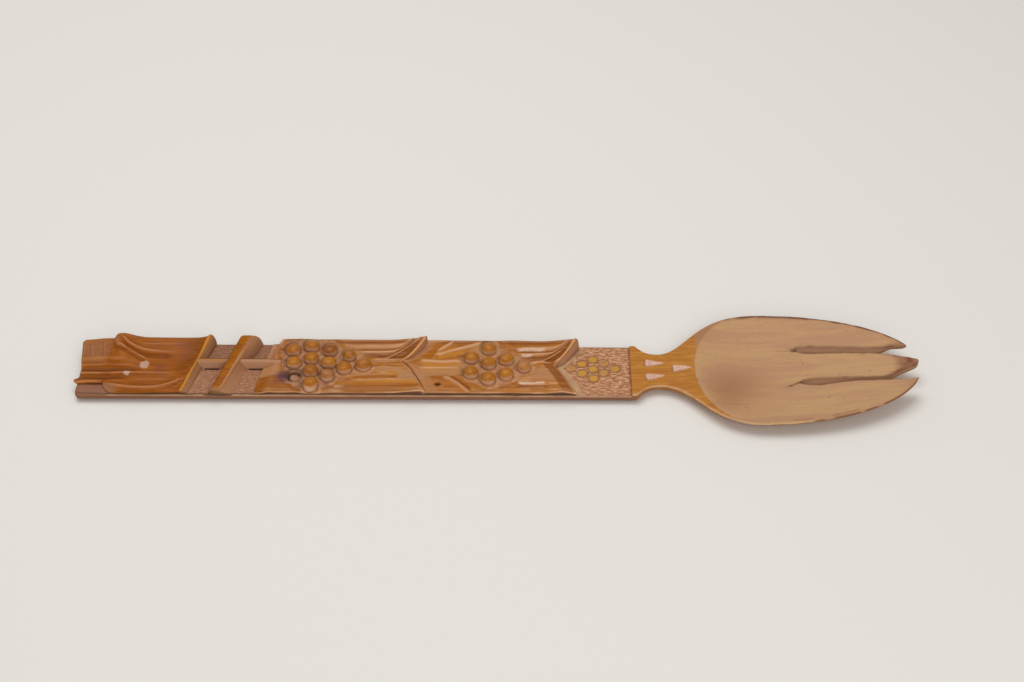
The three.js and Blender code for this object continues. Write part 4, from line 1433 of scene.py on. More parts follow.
@dataclass
class EndScroll(ReliefPiece):
    """Dished leaf end with swept folds, lengthwise ribs, a near lobe and a raised slanting lip."""

    name: str = "scroll_relief"
    node: str = "end_scroll"
    end_foot: float = 2.2
    setback_x: float = -137.5
    setback_y: float = -8.5
    peak_x: float = -135.6
    hook: tuple[Plan, ...] = (
        (-1, 1.6), (-0.95, 0.5), (-0.87, -0.1), (-0.8, 0),
        (-0.74, 0.9), (-0.66, 2.1), (0.9, -0.2), (1, 0.8))
    lobe_x: float = -124.5
    lobe_y: float = -11.4
    facets_across: Triple = (3.2, 11.2, 0.8)
    folds: tuple[Rib, ...] = (
        Rib(0.15, 0.4, 0.35, (-151, -128, 4)), Rib(-3.7, 0.55, 0.6, (-151, -113, 6)),
        Rib(-8, 0.5, 0.4, (-151, -137.6, 1)), Rib(-1.6, 1, -0.55, (-151, -124, 6)),
        Rib(-5.6, 0.9, -0.6, (-151, -128, 6)))
    # Painted shade in the fold grooves
    dark_lines: tuple[Rib, ...] = (
        Rib(-1.6, 0.9, 0.75, (-151, -124, 6)), Rib(-5.7, 0.9, 0.8, (-151, -128, 6)))
    # Painted highlights on a fold ridge and along a rib in the dish
    pale_lines: tuple[Rib, ...] = (
        Rib(9.8, 0.35, 0.35, (-129, -109, 6)), Rib(-3.7, 0.4, 0.45, (-151, -113, 6)))
    tinges: tuple[Spot, ...] = (
        Spot(-119.6, -0.9, 2, 2, 0.28), Spot(-112, 9, 3, 3, 0.14),
        Spot(-119, 6, 2.4, 2.4, 0.12))

    def place(self, along: Array, across: Array) -> Pair:
        """Patch with a hooked tail, a slanting lip and a near edge set back at the tail."""
        tail = TAIL_X + np.interp(across, *zip(*self.hook))
        x = mix(tail, scroll_edge(across * (BOARD_END_HALF - RELIEF_INSET)), along)
        far = board_half(x) - RELIEF_INSET
        near_inset = RELIEF_INSET - 0.35 * bell(x + 127, 8)
        rounded = np.sqrt(1 - held((-133.6 - x) / 4.8) ** 2)
        near = mix(self.setback_y, near_inset - board_half(x), rounded)
        return x, mix(near, far, (across + 1) / 2)

    def lobe_crest(self, x: Array) -> Array:
        """Line of the near lobe's crest: a shallow curve that turns up sharply near the lip."""
        offset = np.abs(x - self.lobe_x)
        rise = np.where(x < self.lobe_x, 2.1 * (offset / 13.1) ** 2, 3.5 * (offset / 12.5) ** 2.5)
        return self.lobe_y + rise

    def swirl(self, x: Array, y: Array) -> Array:
        """Folds that sweep down from the far peak: a steep one, then two ribs that flatten in the dish.

        The upper rib follows a decaying exponential of the length and the lower one a shallow parabola.
        """
        offset = x - (self.peak_x - 2.6) - 0.5 * np.clip(9.5 - y, 0, None)
        fold = 2.3 * ramp(offset / 2.3) * bell(np.clip(offset - 3, 0, None), 5.5) * after(y, 2, 11)
        upper = y - 6.2 - 6.6 * np.exp(-(x - self.peak_x) / 4.6)
        past = x - self.peak_x - 0.1
        lower = y - 8.2 + 0.32 * past + 0.012 * past**2
        swept = after(x, -135.9, 4) * before(x, -112, 12)
        upper_rib = (0.6 * bell(upper, 0.7) - 0.75 * bell(upper + 1.7, 1)) * swept
        lower_rib = (0.5 * bell(lower, 0.6) - 0.5 * bell(lower + 1.4, 0.8)) * gap(-137.5, -124, 3, x)
        return fold + upper_rib + lower_rib

    def facets(self, x: Array, y: Array) -> Array:
        """Cross cuts on the tail: a slanting step every few millimetres between two edges."""
        step = ((x + 0.18 * (y - 7) + 145.2) / 4.6) % 1
        return 0.3 * step * gap(*self.facets_across, y) * (x < self.setback_x)

    def height(self, x: Array, y: Array) -> Array:
        """Tail flat, dish with a high far wall, swirl, ribs, lobe and lip, added up."""
        dish = after(x, self.setback_x, 5)
        to_lip = np.clip(scroll_edge(y) - x, 0, None)
        tail_rim = 2 + 0.9 * after(x, TAIL_X, 9)
        far_rim = mix(tail_rim, 3.45, dish)
        floor = mix(0.9, 1.2, dish)
        wall = mix(after(y, -0.5, 3), after(y, 1, 12), after(x, self.setback_x, 13))
        crest_line = self.lobe_crest(x)
        crest = 0.95 * bell(y - crest_line, 0.9) * gap(-138.6, -109.8, 2.5, x)
        fall = 0.4 * before(y, crest_line, 3)
        lens = 0.45 * gap(-134, -111, 6, x) * bell(y - crest_line - 3, 2)
        lip = (0.9 + 0.8 * bell(y, 8) + 0.8 * after(y, 8, 5)) * np.exp(-to_lip / 1.7)
        tool = 0.1 * (noise(x / 3.5, y / 1.6, 2) - 0.5)
        carved = floor + (far_rim - floor) * wall + self.swirl(x, y) + added(self.folds, x, y)
        return carved - self.facets(x, y) + crest - fall - lens + lip + tool

    def masks(self, x: Array, y: Array) -> Values:
        """Greyer tail, two wax drips, faint purple tinges, a dish in painted shade and a lip with a painted
        highlight.
        """
        low, high, _ = self.facets_across
        tail = before(x, -133, 9) * after(y, -1.5, 3)
        window = gap(*self.facets_across, y) * before(x, self.setback_x, 0.8)
        frame_lines = (bell(y - low, 0.3) + bell(y - high - 0.1, 0.3)) * before(x, self.setback_x, 1)
        frame_lines = frame_lines * noise(x / 1.5, y, 7)
        ragged = 0.45 * noise(x / 0.55, y / 0.55, 3) + 0.35 * noise(x / 1.3, y / 1.3, 9)
        big = before(ragged, 2.2 - np.hypot(x + 125.3, (y - 0.7) * 0.8), 0.5)
        small = before(0.9 * ragged, 1.85 - np.hypot(x + 130.7, y + 3.4), 0.5)
        from_lip = scroll_edge(y) - x
        # Painted shade in the dish before the lip
        shade = 0.4 * bell(from_lip - 4, 3.5) * after(y, -6, 6)
        crest_line = self.lobe_crest(x)
        lobe = before(y, crest_line + 0.8, 1)
        # Painted highlight along the lobe's crest
        rib = 0.6 * bell(y - crest_line, 0.6) * gap(-140, -109, 3, x)
        near_gold = 0.6 * bell(y + 7.6, 0.4) * before(x, -139, 2)
        return {
            "dust": 0.45 * tail + 0.2 * window,
            "bare": 0.75 * lobe * before(x, -131.5, 4) * after(x, -138.8, 1),
            "wax_and_highlight": np.maximum(0.6 * big, 0.8 * small) * mix(0.6, 1, noise(x / 0.45, y / 0.45, 19)),
            "stain": np.maximum(added(self.tinges, x, y), 0.06 * window),
            "grime": 0.1 * window,
            # Painted highlight along the lip, and a golden line by the near tail end
            "gold": 0.9 * before(from_lip, 1.05, 0.4) + near_gold,
            "crest": held(0.45 * frame_lines + added(self.pale_lines, x, y) + rib),
            "valley": held(shade + added(self.dark_lines, x, y)),
        }

    def contrast(self, x: Array, y: Array) -> Array:
        """Softer than on the leaves, and softest in the dish."""
        return mix(0.45, 0.7, before(x, -134, 4)) * (1 - bell(x + 138, 1.8))


@dataclass(frozen=True)
class SwallowTail:
    """Forked end of a leaf: the notch, the two tips, and how each edge bends on its way."""

    notch_x: float
    notch_y: float
    far_x: float
    near_x: float
    far_bend: float
    near_bend: float

    def edge(self, y: Array) -> Array:
        """Place of the end along the handle: a power curve from the notch to each tip."""
        half = board_half(self.notch_x)
        far = y > self.notch_y
        reach = np.where(far, half - self.notch_y, half + self.notch_y)
        share = np.minimum(1, np.abs(y - self.notch_y) / reach)
        bend = np.where(far, self.far_bend, self.near_bend)
        rounding = 0.8 * after(y, 11, 2) ** 2
        return mix(self.notch_x, np.where(far, self.far_x, self.near_x), share**bend) - rounding

    def far_edge(self, x: Array) -> Array:
        """Far edge as a place across the board, level with the notch before it."""
        share = held((x - self.notch_x) / (self.far_x - self.notch_x)) ** (1 / self.far_bend)
        return mix(self.notch_y, board_half(self.notch_x), share)


REAR_TAIL = SwallowTail(-34, 2.3, -24.6, -25, 0.72, 0.7)
FRONT_TAIL = SwallowTail(20.4, 1.3, 28.8, 28.1, 0.8, 0.8)


def rear_start(y: Array) -> Array:
    """Slanting start of the rear leaf."""
    return -83 + 0.17 * y


def front_start(y: Array) -> Array:
    """Start of the front leaf, fitted into the rear leaf's tail."""
    return REAR_TAIL.edge(y) + 0.12


@dataclass
class LeafPanel(ReliefPiece):
    """Leaf blade with gouged flutes, a bed for its bunch and a forked tail with a rolled far lip."""

    start: Line = rear_start
    tail: SwallowTail = REAR_TAIL
    bunch: Bunch = REAR_BUNCH
    crests: tuple[float, ...] = (0, 4.4, 7, 11.5)
    lead: float = 5.8
    gouge_width: float = 5.2
    tip_lift: float = 1.0
    crown: float = 2.5
    far_edge: float = 3.35
    near_edge: float = 0.9
    flare: float = 2.0
    bevel_length: float = 1.4
    bevel_depth: float = 0.5

    def place(self, along: Array, across: Array) -> Pair:
        """Patch from the start edge to the forked tail, inset from the board's edges, a little uneven."""
        guess = across * board_half(self.tail.notch_x)
        x = mix(self.start(guess), self.tail.edge(guess), along)
        uneven = 0.25 * (noise(x / 5, 0, 14) - 0.5) * np.abs(across) ** 8
        return x, across * (board_half(x) - RELIEF_INSET) + uneven

    def upper_crest(self, x: Array) -> Array:
        """Crest above the tail's gouge: along the leaf, then rising with slope 0.9, steeper farther on."""
        past = x - self.tail.notch_x + self.lead
        steeper = 0.05 * np.clip(past - 6, 0, None) ** 2
        return self.tail.notch_y + 0.45 * (np.sqrt(past**2 + 4) + past) + steeper

    def swept(self, x: Array, y: Array) -> Array:
        """Flute coordinate: distance above the upper crest, for flutes that bend later farther out.

        The bend moves along the leaf with the coordinate itself, so it is found by rounds of substitution.
        """
        line = y - self.tail.notch_y
        for _ in range(12):
            line = mix(line, y - self.upper_crest(x - 0.9 * line), 0.6)
        return line

    def far_half(self, y: Array) -> Array:
        """Share of the far half, past the tail's notch."""
        return after(y, self.tail.notch_y, 2)

    def tail_gouge(self, x: Array, y: Array) -> Array:
        """Deep gouge between the upper crest and the far tail's edge: 1 on its floor, 0 on both rims."""
        past_notch = x - self.tail.notch_x
        crest = self.upper_crest(x)
        width = mix(0.7, self.gouge_width, after(past_notch, -9, 11))
        width = np.minimum(width, crest - self.tail.far_edge(x) - 0.8)
        share = held((crest - y) / np.maximum(width, 0.05))
        return 4 * share * (1 - share) * held(width / 0.8) * after(past_notch, -10.5, 4)

    def end_run(self, y: Array) -> Array:
        """The end wall runs out on the far tail alone."""
        return self.end_foot * self.far_half(y)

    def near_tip(self, x: Array, y: Array) -> Array:
        """Share of the rise towards the near tip of the tail."""
        return after(x - self.tail.near_x, -13, 12) * before(y, -8.5, 4)

    def blade(self, x: Array, y: Array) -> Array:
        """Blade before it is gouged: crowned, sunk for the bunch and flared up at the far tail.

        Args:
            x: places along the handle.
            y: places across it.

        Returns:
            Heights.
        """
        side = y / board_half(x)
        edge = np.where(side > 0, self.far_edge, self.near_edge)
        to_tail = self.tail.edge(y) - x
        far = after(y, self.tail.notch_y, 2.5)
        lift = after(y - self.tail.notch_y, 1, 9)
        flare = self.flare * lift * np.clip(1 - to_tail / 13, 0, None) ** 2
        bevel = (1 - far) * self.bevel_depth * np.clip(1 - to_tail / self.bevel_length, 0, None)
        bed = 0.75 * self.bunch.bed(x, y) * (1 - after(y, 9, 3))
        tip = self.tip_lift * self.near_tip(x, y)
        return mix(self.crown, edge, np.abs(side) ** 4) - bed + flare - bevel + tip

    def gouges(self, x: Array, y: Array) -> Array:
        """Depth of the gouge cuts: swept flutes on the far half, broad shallow ones on the near half.

        Args:
            x: places along the handle.
            y: places across it.

        Returns:
            Depths.
        """
        open_blade = 1 - self.bunch.bed(x, y)
        past_bunch = after(x - self.bunch.x, 13, 6)
        line = self.swept(x, y)
        flutes = 0.5 * scallops(line, self.crests) * gap(0, 7.5, 0.8, line)
        sway = y + 0.8 * noise(x / 14, y / 5, 11)
        broad = 0.12 * scallops(sway, (-14, -10.6, -7.9, -4.9, -1, 3))
        return open_blade * past_bunch * mix(broad, flutes, self.far_half(y))

    @abstractmethod
    def start_cut(self, x: Array, y: Array) -> Array:
        """Depth cut away at the start of the leaf."""

    def height(self, x: Array, y: Array) -> Array:
        """Blade, less the gouges and the cut at the start."""
        tool = 0.1 * (noise(x / 4, y / 1.7, 7) - 0.5)
        gouge = 0.8 * self.tail_gouge(x, y) * (1 - after(y, 7.5, 4.5))
        carved = self.blade(x, y) - gouge - self.gouges(x, y)
        return carved - self.start_cut(x, y) + tool

    def far_marks(self, x: Array, y: Array, bed: Array) -> Pair:
        """Pale and dark marks of the far half: painted highlights on flutes and rims, painted shade in
        troughs and the tail's gouge, a dark far border.

        Args:
            x: places along the handle.
            y: places across it.
            bed: the bunch's bed, from 0 to 1.

        Returns:
            Pale and dark marks.
        """
        past_notch = x - self.tail.notch_x
        far = self.far_half(y)
        line = self.swept(x, y)
        _, low, high, _ = self.crests
        fluted = after(x - self.bunch.x, 14, 6) * far * (1 - bed)
        crests = 0.85 * bell(line - low, 0.6) + 0.8 * bell(line - high, 0.8)
        crests = crests * mix(0.5, 1, noise(x / 5, y / 2, 4))
        troughs = 0.9 * bell(line - 0.58 * low, 0.9) + 0.85 * bell(line - (low + high) / 2, 0.4)
        rims = bell(line, 0.45) * after(past_notch, -11, 4) * after(line, -1.5, 1)
        shelf = far * before(y, self.upper_crest(x) - 0.9 * self.gouge_width, 0.6)
        shelf = shelf * after(past_notch, -3, 3)
        border = 0.6 * after(y, 10, 1.2) * (1 - bed) * after(x - self.start(y), 4, 4)
        gouge = np.clip(2.2 * self.tail_gouge(x, y), 0, 0.7)
        dark = np.maximum.reduce([gouge, fluted * troughs, border])
        return 0.8 * rims + fluted * crests + 0.22 * shelf, dark

    def near_marks(self, x: Array, y: Array) -> Array:
        """Pale marks along the near edges, painted highlights: at the tail, on its near tip and on the rim.
        """
        tail = 0.6 * (1 - self.far_half(y)) * bell(self.tail.edge(y) - x - 0.35, 0.35)
        tip = 0.8 * self.near_tip(x, y) * before(y, -12.2, 0.5)
        rim = 0.6 * before(board_half(x) - RELIEF_INSET + y, 0.5, 0.3)
        return np.maximum(tail, tip) + rim * mix(0.3, 1, noise(x / 4, 0, 91))

    def masks(self, x: Array, y: Array) -> Values:
        """Dusty bed, painted shade round the pegs, worn crests with painted highlights, and a bevel in
        painted shade at the tail's near end.
        """
        far = self.far_half(y)
        bed = self.bunch.bed(x, y)
        open_near = (1 - far) * (1 - bed)
        past_bunch = x - self.bunch.x
        to_tail = self.tail.edge(y) - x
        pale, dark = self.far_marks(x, y, bed)
        bevel = (1 - far) * before(to_tail, self.bevel_length, 0.5)
        sunk = bevel * (self.bevel_depth > 1)
        edge = far * bell(to_tail - 0.5, 0.6) * after(x, self.tail.notch_x, 2)
        # Painted shade in a ring round each peg, offset to its left and far side
        ring = fade(np.abs(self.bunch.nearest(x + 0.5, y - 0.6) - 2.75), 0.7)
        crumbs = fade(np.abs(self.bunch.nearest(x - 0.4, y + 0.8) - 3.1), 0.8)
        crumbs = 0.7 * crumbs * after(noise(x / 0.7, y / 0.7, 51), 0.35, 0.3) * (y < 8)
        dry = after(noise(x / 12, y / 3, 73), 0.35, 0.3) * (1 - bed)
        dry = dry * after(x - self.start(y), 17, 6) * (1 - sunk) * (y < 10)
        scratches = mix(0.5, 0.12, far) * dry * after(noise(x / 5, y / 0.42, 71), 0.58, 0.2)
        mottle = bed * (noise(x / 1.1, y / 0.9, 81) - 0.5)
        ragged_bed = after(bed + 0.7 * (noise(x / 2.2, y / 0.7, 61) - 0.5), 0.25, 0.4)
        blotch = open_near * after(y, -8.8, 2) * after(noise(x / 10, y / 2.2, 37), 0.36, 0.25)
        dust = np.maximum(0.9 * ragged_bed, blotch * (1 - 0.8 * sunk))
        golden = open_near * after(y, -9.5, 2) * after(noise(x / 9, y / 3, 31), 0.5, 0.25)
        golden = 0.5 * golden * after(past_bunch, 2, 8)
        worn = crumbs + scratches + np.clip(1.6 * mottle, 0, 0.5)
        return {
            "dust": held(dust - 0.8 * held(-mottle)),
            "bare": 0.1 * bevel,
            "gold": held(golden + 0.8 * edge),
            "crest": held(pale + self.near_marks(x, y) + worn),
            "valley": held(np.maximum(dark, 0.5 * sunk) + 0.6 * ring),
            "grime": 0.4 * ring,
        }

    def contrast(self, x: Array, y: Array) -> Array:
        """Full on the far half, fainter on the near half, and none in the bed."""
        far = after(y - self.tail.notch_y, -1, 2)
        return mix(0.4, 1, far) * (1 - ramp(self.bunch.bed(x, y) / 0.1))


@dataclass
class RearLeaf(LeafPanel):
    """Leaf behind the bar, with one grape missing from its bunch."""

    name: str = "rear_leaf_relief"
    node: str = "rear_leaf_panel"
    end_foot: float = 0.4
    # Painted highlight streaks on the near half: place across, start and end along
    streaks: tuple[Triple, ...] = ((-1.4, -49, -35), (-4.8, -57, -34), (-7.4, -53, -32))

    def start_cut(self, x: Array, y: Array) -> Array:
        """Slope down to the ground at the start, short on the far side, and the empty socket."""
        corner = after(y, 8, 3)
        length = mix(mix(5.5, 4.6, after(y, -4, 10)), 2.4, corner)
        depth = mix(mix(1.5, 2.4, after(y, -4, 10)), 3, corner)
        slope = depth * (1 - after(x - self.start(y), 1.6 * corner, length))
        cx, cy = self.bunch.centre(*self.bunch.empty)
        crumbs = 0.5 * noise(x / 0.8, y / 0.8, 13)
        return slope + (1.1 + crumbs - 0.5) * before(np.hypot(x - cx, y - cy), 2.75, 0.4)

    def masks(self, x: Array, y: Array) -> Values:
        """The blade's masks, with painted highlight streaks, the socket in painted shade, an ink stain
        beside it and a rubbed start.
        """
        masks = super().masks(x, y)
        bed = self.bunch.bed(x, y)
        wander = 0.6 * (noise(x / 5, 0, 3) - 0.5)
        broken = mix(0.3, 1, noise(x / 2, y / 0.7, 6))
        for middle, low, high in self.streaks:
            streak = bell(y - middle - wander, 0.5) * gap(low, high, 4, x)
            lift_masks(masks, crest=0.75 * streak * broken)
        rubbed = 0.9 * (1 - after(x, self.start(y), 5)) * after(y, 1, 2)
        dusty = 0.95 * before(x, -74.5, 3) * gap(-6.2, 1, 3, y)
        dark_start = 0.4 * before(x, -66, 4) * before(y, -5, 2)
        low_band = 0.4 * before(y, -9, 1.5) * after(x, -64, 4) * (1 - bed)
        low_band = np.maximum(low_band * (1 - self.near_tip(x, y)), dark_start)
        centre_x, centre_y = self.bunch.centre(*self.bunch.empty)
        ahead, beside = x - centre_x, y - centre_y
        reach = np.hypot(ahead, beside)
        hole = before(reach, 2.7, 0.4)
        blot = np.hypot((ahead + 3.2) / 1.2, beside + 0.3) + 0.9 * (noise(x / 1.5, y / 1.2, 5) - 0.5)
        tinge = 0.3 * bed * noise(x / 3, y / 3, 23) * before(x, -50, 10)
        mottle = 0.8 * hole * after(noise(x / 0.7, y / 0.7, 43), 0.5, 0.2) * before(reach, 2.1, 0.6)
        # Darker patch left of the socket, a darker arc beyond it, and painted shade on the socket's far and
        # left wall
        socket_left_dark = 0.4 * before(np.hypot((ahead + 2.6) / 1.3, beside - 0.9), 3.2, 2.4) * (1 - hole)
        arc = 0.65 * bell(np.hypot(ahead, beside - 0.5) - 3, 0.5) * after(beside - 0.4 * ahead, -0.5, 1.5)
        wall = 0.95 * hole * after(reach, 1, 0.9) * after(beside - 0.9 * ahead, -2.2, 2)
        lift_masks(masks, valley=low_band, dust=dusty, crest=mottle)
        lift_masks(masks, grime=np.maximum.reduce([socket_left_dark, arc, wall]))
        masks["bare"] = held(masks["bare"] + 0.8 * hole + rubbed)
        masks["dust"] = masks["dust"] * (1 - hole * mix(0.4, 1, noise(x / 0.7, y / 0.7, 13)))
        masks["stain"] = np.maximum(0.8 * before(blot, 4.4, 4.2) * (1 - hole), tinge)
        return masks


@dataclass
class FrontLeaf(LeafPanel):
    """Leaf that grows out of the rear leaf's tail, with veins that fan out from there."""

    name: str = "front_leaf_relief"
    node: str = "front_leaf_panel"
    end_foot: float = 1.5
    crests: tuple[float, ...] = (0, 4.5, 7.2, 11.5)
    lead: float = 4.9
    gouge_width: float = 3.6
    far_edge: float = 3.2
    flare: float = 1.6
    bevel_length: float = 5.0
    bevel_depth: float = 1.3
    start: Line = front_start
    tail: SwallowTail = FRONT_TAIL
    bunch: Bunch = FRONT_BUNCH
    veins: tuple[tuple[Plan, ...], ...] = (
        ((-22.1, 6.5), (-14.8, 12.5)), ((-22.7, 5.2), (-11.9, 8.9), (-4.9, 11.6)),
        ((-27.9, 2.2), (-19.1, 1.6), (-11.7, 2.3)), ((-28.1, -1.6), (-12.4, -1.2)))
    furrow: tuple[Plan, ...] = ((-19.6, -4), (-17, -4.8), (-14, -7), (-8.2, -12.2))
    # Painted highlight streaks: place across, start and end along
    streaks: tuple[Triple, ...] = ((8.2, 6.6, 17.6), (5.4, 8, 13), (-8.7, 7, 17.5))
    knot: Plan = (-20.7, -9.4)

    def along(self, vein: tuple[Plan, ...], x: Array, y: Array) -> Pair:
        """Distance across from a vein, and its strength, which fades at both ends."""
        xs, ys = zip(*vein)
        return y - np.interp(x, xs, ys), gap(xs[0], xs[-1], 2, x)

    def start_cut(self, x: Array, y: Array) -> Array:
        """Standing veins with a gouge cut beside each, a furrow, a lowered start and a small knot hole."""
        cut = blank(x, y)
        for vein in self.veins:
            across, strength = self.along(vein, x, y)
            cut = cut + strength * (0.5 * bell(across + 1.8, 1) - 0.25 * bell(across, 0.7))
        across, strength = self.along(self.furrow, x, y)
        cut = cut + strength * (0.45 * bell(across, 0.9) - 0.2 * bell(across + 1.9, 0.9))
        lowered = (1 - after(x, self.start(y), 4)) * gap(1.5, 12, 3, y)
        knot = 0.8 * bell(np.hypot((x - self.knot[0]) / 1.5, y - self.knot[1]), 0.6)
        return cut * (1 - self.bunch.bed(x, y)) + lowered + knot

    def masks(self, x: Array, y: Array) -> Values:
        """The blade's masks, with a pale start, pale veins beside golden cuts, painted highlight streaks,
        painted shade in the furrow and the dark knot.
        """
        masks = super().masks(x, y)
        start = (1 - after(x, self.start(y), 6)) * after(y, 0.5, 2)
        near_start = 0.72 * before(x, -23.5 - 0.45 * (y + 3.5), 2) * before(y, 1, 1.5)
        knot = bell(np.hypot((x - self.knot[0]) / 1.6, y - self.knot[1]), 0.7)
        for vein in self.veins:
            across, strength = self.along(vein, x, y)
            lift_masks(masks, crest=0.8 * strength * bell(across, 0.75))
            lift_masks(masks, gold=0.75 * strength * bell(across + 1.9, 1))
        # A lighter edge beside the furrow and painted shade in it
        across, strength = self.along(self.furrow, x, y)
        lift_masks(masks, crest=0.5 * strength * bell(across + 1.9, 0.9))
        lift_masks(masks, valley=0.75 * strength * bell(across, 0.7))
        # Painted highlight streaks, laid on with the wax colour and the crest colour
        gloss = blank(x, y)
        broken = mix(0.45, 1, noise(x / 0.8, y / 0.4, 29))
        for middle, low, high in self.streaks:
            wander = 0.5 * (noise(x / 2.5, middle, 17) - 0.5)
            gloss = np.maximum(gloss, broken * bell(y - middle - wander, 0.5) * gap(low, high, 1.5, x))
        masks["wax_and_highlight"] = 0.8 * gloss
        lift_masks(masks, crest=0.95 * gloss, grime=knot, dust=np.maximum(start, near_start))
        lift_masks(masks, bare=np.maximum(0.4 * self.bunch.bed(x, y), 0.5 * start))
        return masks


# Bar, stem and grapes


BAR_TOP_X = -93.4
BAR_TOP_WIDTH = 4.1
BAR_NEAR_SLANT = 0.39
STEM_Y = 1.3
STEM_WIDTH = 1.8
LAP_HEIGHT = 1.5


def bar_left(y: Number) -> Number:
    """Upper left edge of the slanting bar, which slants more on the near half."""
    return BAR_TOP_X - BAR_TOP_WIDTH / 2 + np.where(y > 0, END_SLANT, BAR_NEAR_SLANT) * y


def bar_height(y: Number) -> Number:
    """Top of the bar above the ground, falling to its near end and rounded off at its far end."""
    return 4.8 - 2.9 * before(y, 5, 19) - 0.5 * after(y, 11.4, 1.8) ** 2


@dataclass
class CrossBar:
    """Slanting bar, steep on its left, with a varnished top that widens to the far end and a long bevel."""

    finish: ReliefFinish
    left_foot: float = 0.6
    corner: float = 0.6

    def build(self) -> Piece:
        """Carry the bar's section along its length; the floor rises over the stem that it laps."""
        mesh = ClosedMesh()
        reach = board_half(BAR_TOP_X) - RELIEF_INSET
        lap = [STEM_Y + side * (STEM_WIDTH / 2 - 0.1) for side in (-1, 1)]
        steps = [lap[0] - 0.02, lap[0] + 0.02, lap[1] - 0.02, lap[1] + 0.02]
        y = np.sort(np.concatenate([np.linspace(-reach, reach, 110), steps]))[None, :]
        far = after(y, -3, 15)
        left = bar_left(y)
        right = left + mix(BAR_TOP_WIDTH - 0.3, BAR_TOP_WIDTH + 1.5, far)
        foot = mix(3.8, 1.9, after(y, -9, 14))
        round_off = mix(self.corner, 1.9, far)
        under = np.where((y > lap[0]) & (y < lap[1]), LAP_HEIGHT + SEAT_GAP, 0)
        shoulder = bar_height(y) - self.corner
        rise = np.linspace(0, 1, 8)[:, None]
        turn = np.linspace(0, math.pi / 2, 6)[1:, None]
        flat = np.linspace(0, 1, 14)[1:-1, None]
        fall = np.linspace(0, 1, 26)[:, None]
        bevel = mix((1 - fall) ** 1.25, 1 - fall**2.2, far)
        uneven = 0.14 * (noise(y / 3, flat * 2, 3) - 0.5) + 0.12 * np.sin(math.pi * flat)
        xs = (
            left - self.left_foot * (1 - rise), left + self.corner * (1 - np.cos(turn)),
            mix(left + self.corner, right - round_off, flat), right - round_off * (1 - np.sin(turn)),
            right + foot * fall,
        )
        zs = (
            shoulder * rise, shoulder + self.corner * np.sin(turn), shoulder + self.corner + uneven,
            shoulder + self.corner * np.cos(turn), shoulder * bevel,
        )
        runs = (rise, turn, flat, turn, fall)
        z = GROUND + np.maximum(self.stacked(y, runs, *zs), under)
        index = mesh.add_points(self.stacked(y, runs, *xs), y, z, self.masks(y, reach, runs))
        mesh.add_grid(np.concatenate([index, index[:1]]))
        mesh.add_cap(index[::-1, 0])
        mesh.add_cap(index[:, -1])
        return mesh.to_object("bar_relief", "cross_bar", self.finish.material())

    def stacked(self, y: Array, runs: tuple[Array, ...], *parts: Number) -> Array:
        """Rows of the section, a block for each run, over all places across the board."""
        return np.concatenate([
            np.broadcast_to(part, (len(run), y.shape[1])) for run, part in zip(runs, parts)
        ])

    def masks(self, y: Array, reach: float, runs: tuple[Array, ...]) -> Values:
        """Varnish on the top, bare bevel and ends, a painted highlight on the corner, and painted shade on
        the left face and foot.

        Args:
            y: places across the board.
            reach: half length of the bar.
            runs: shares along the left face, its corner, the top, its corner and the bevel.

        Returns:
            The named masks of the finish.
        """
        rise, turn, flat, _, fall = runs
        far = after(y, 1, 8)
        ends = after(-y - reach, -1.1, 1)
        bare = self.stacked(
            y, runs, 0.45, 0.05, 0.5 * far * after(flat, 0.7, 0.3), mix(0.25, 0.8, far),
            0.75 + 0.25 * ramp(fall / 0.3))
        # Painted highlight on the right corner
        corner = self.stacked(y, runs, 0, 0, 0, 0.5 * (1 - far), 0)
        # Painted shade on the left face, its corner, the top's left edge and the bevel's foot
        foot = self.stacked(
            y, runs, mix(0.6, 1, (1 - rise) ** 3), 0.55 * (1 - turn / math.pi),
            0.25 * before(flat, 0.15, 0.15), 0, 0.3 * after(fall, 0.85, 0.15))
        return {
            "bare": held(bare + 0.8 * ends),
            "crest": corner * (1 - ends),
            "dust": 0.8 * before(y, 2.6 - reach, 2.4),
            "grime": 0.8 * foot,
        }


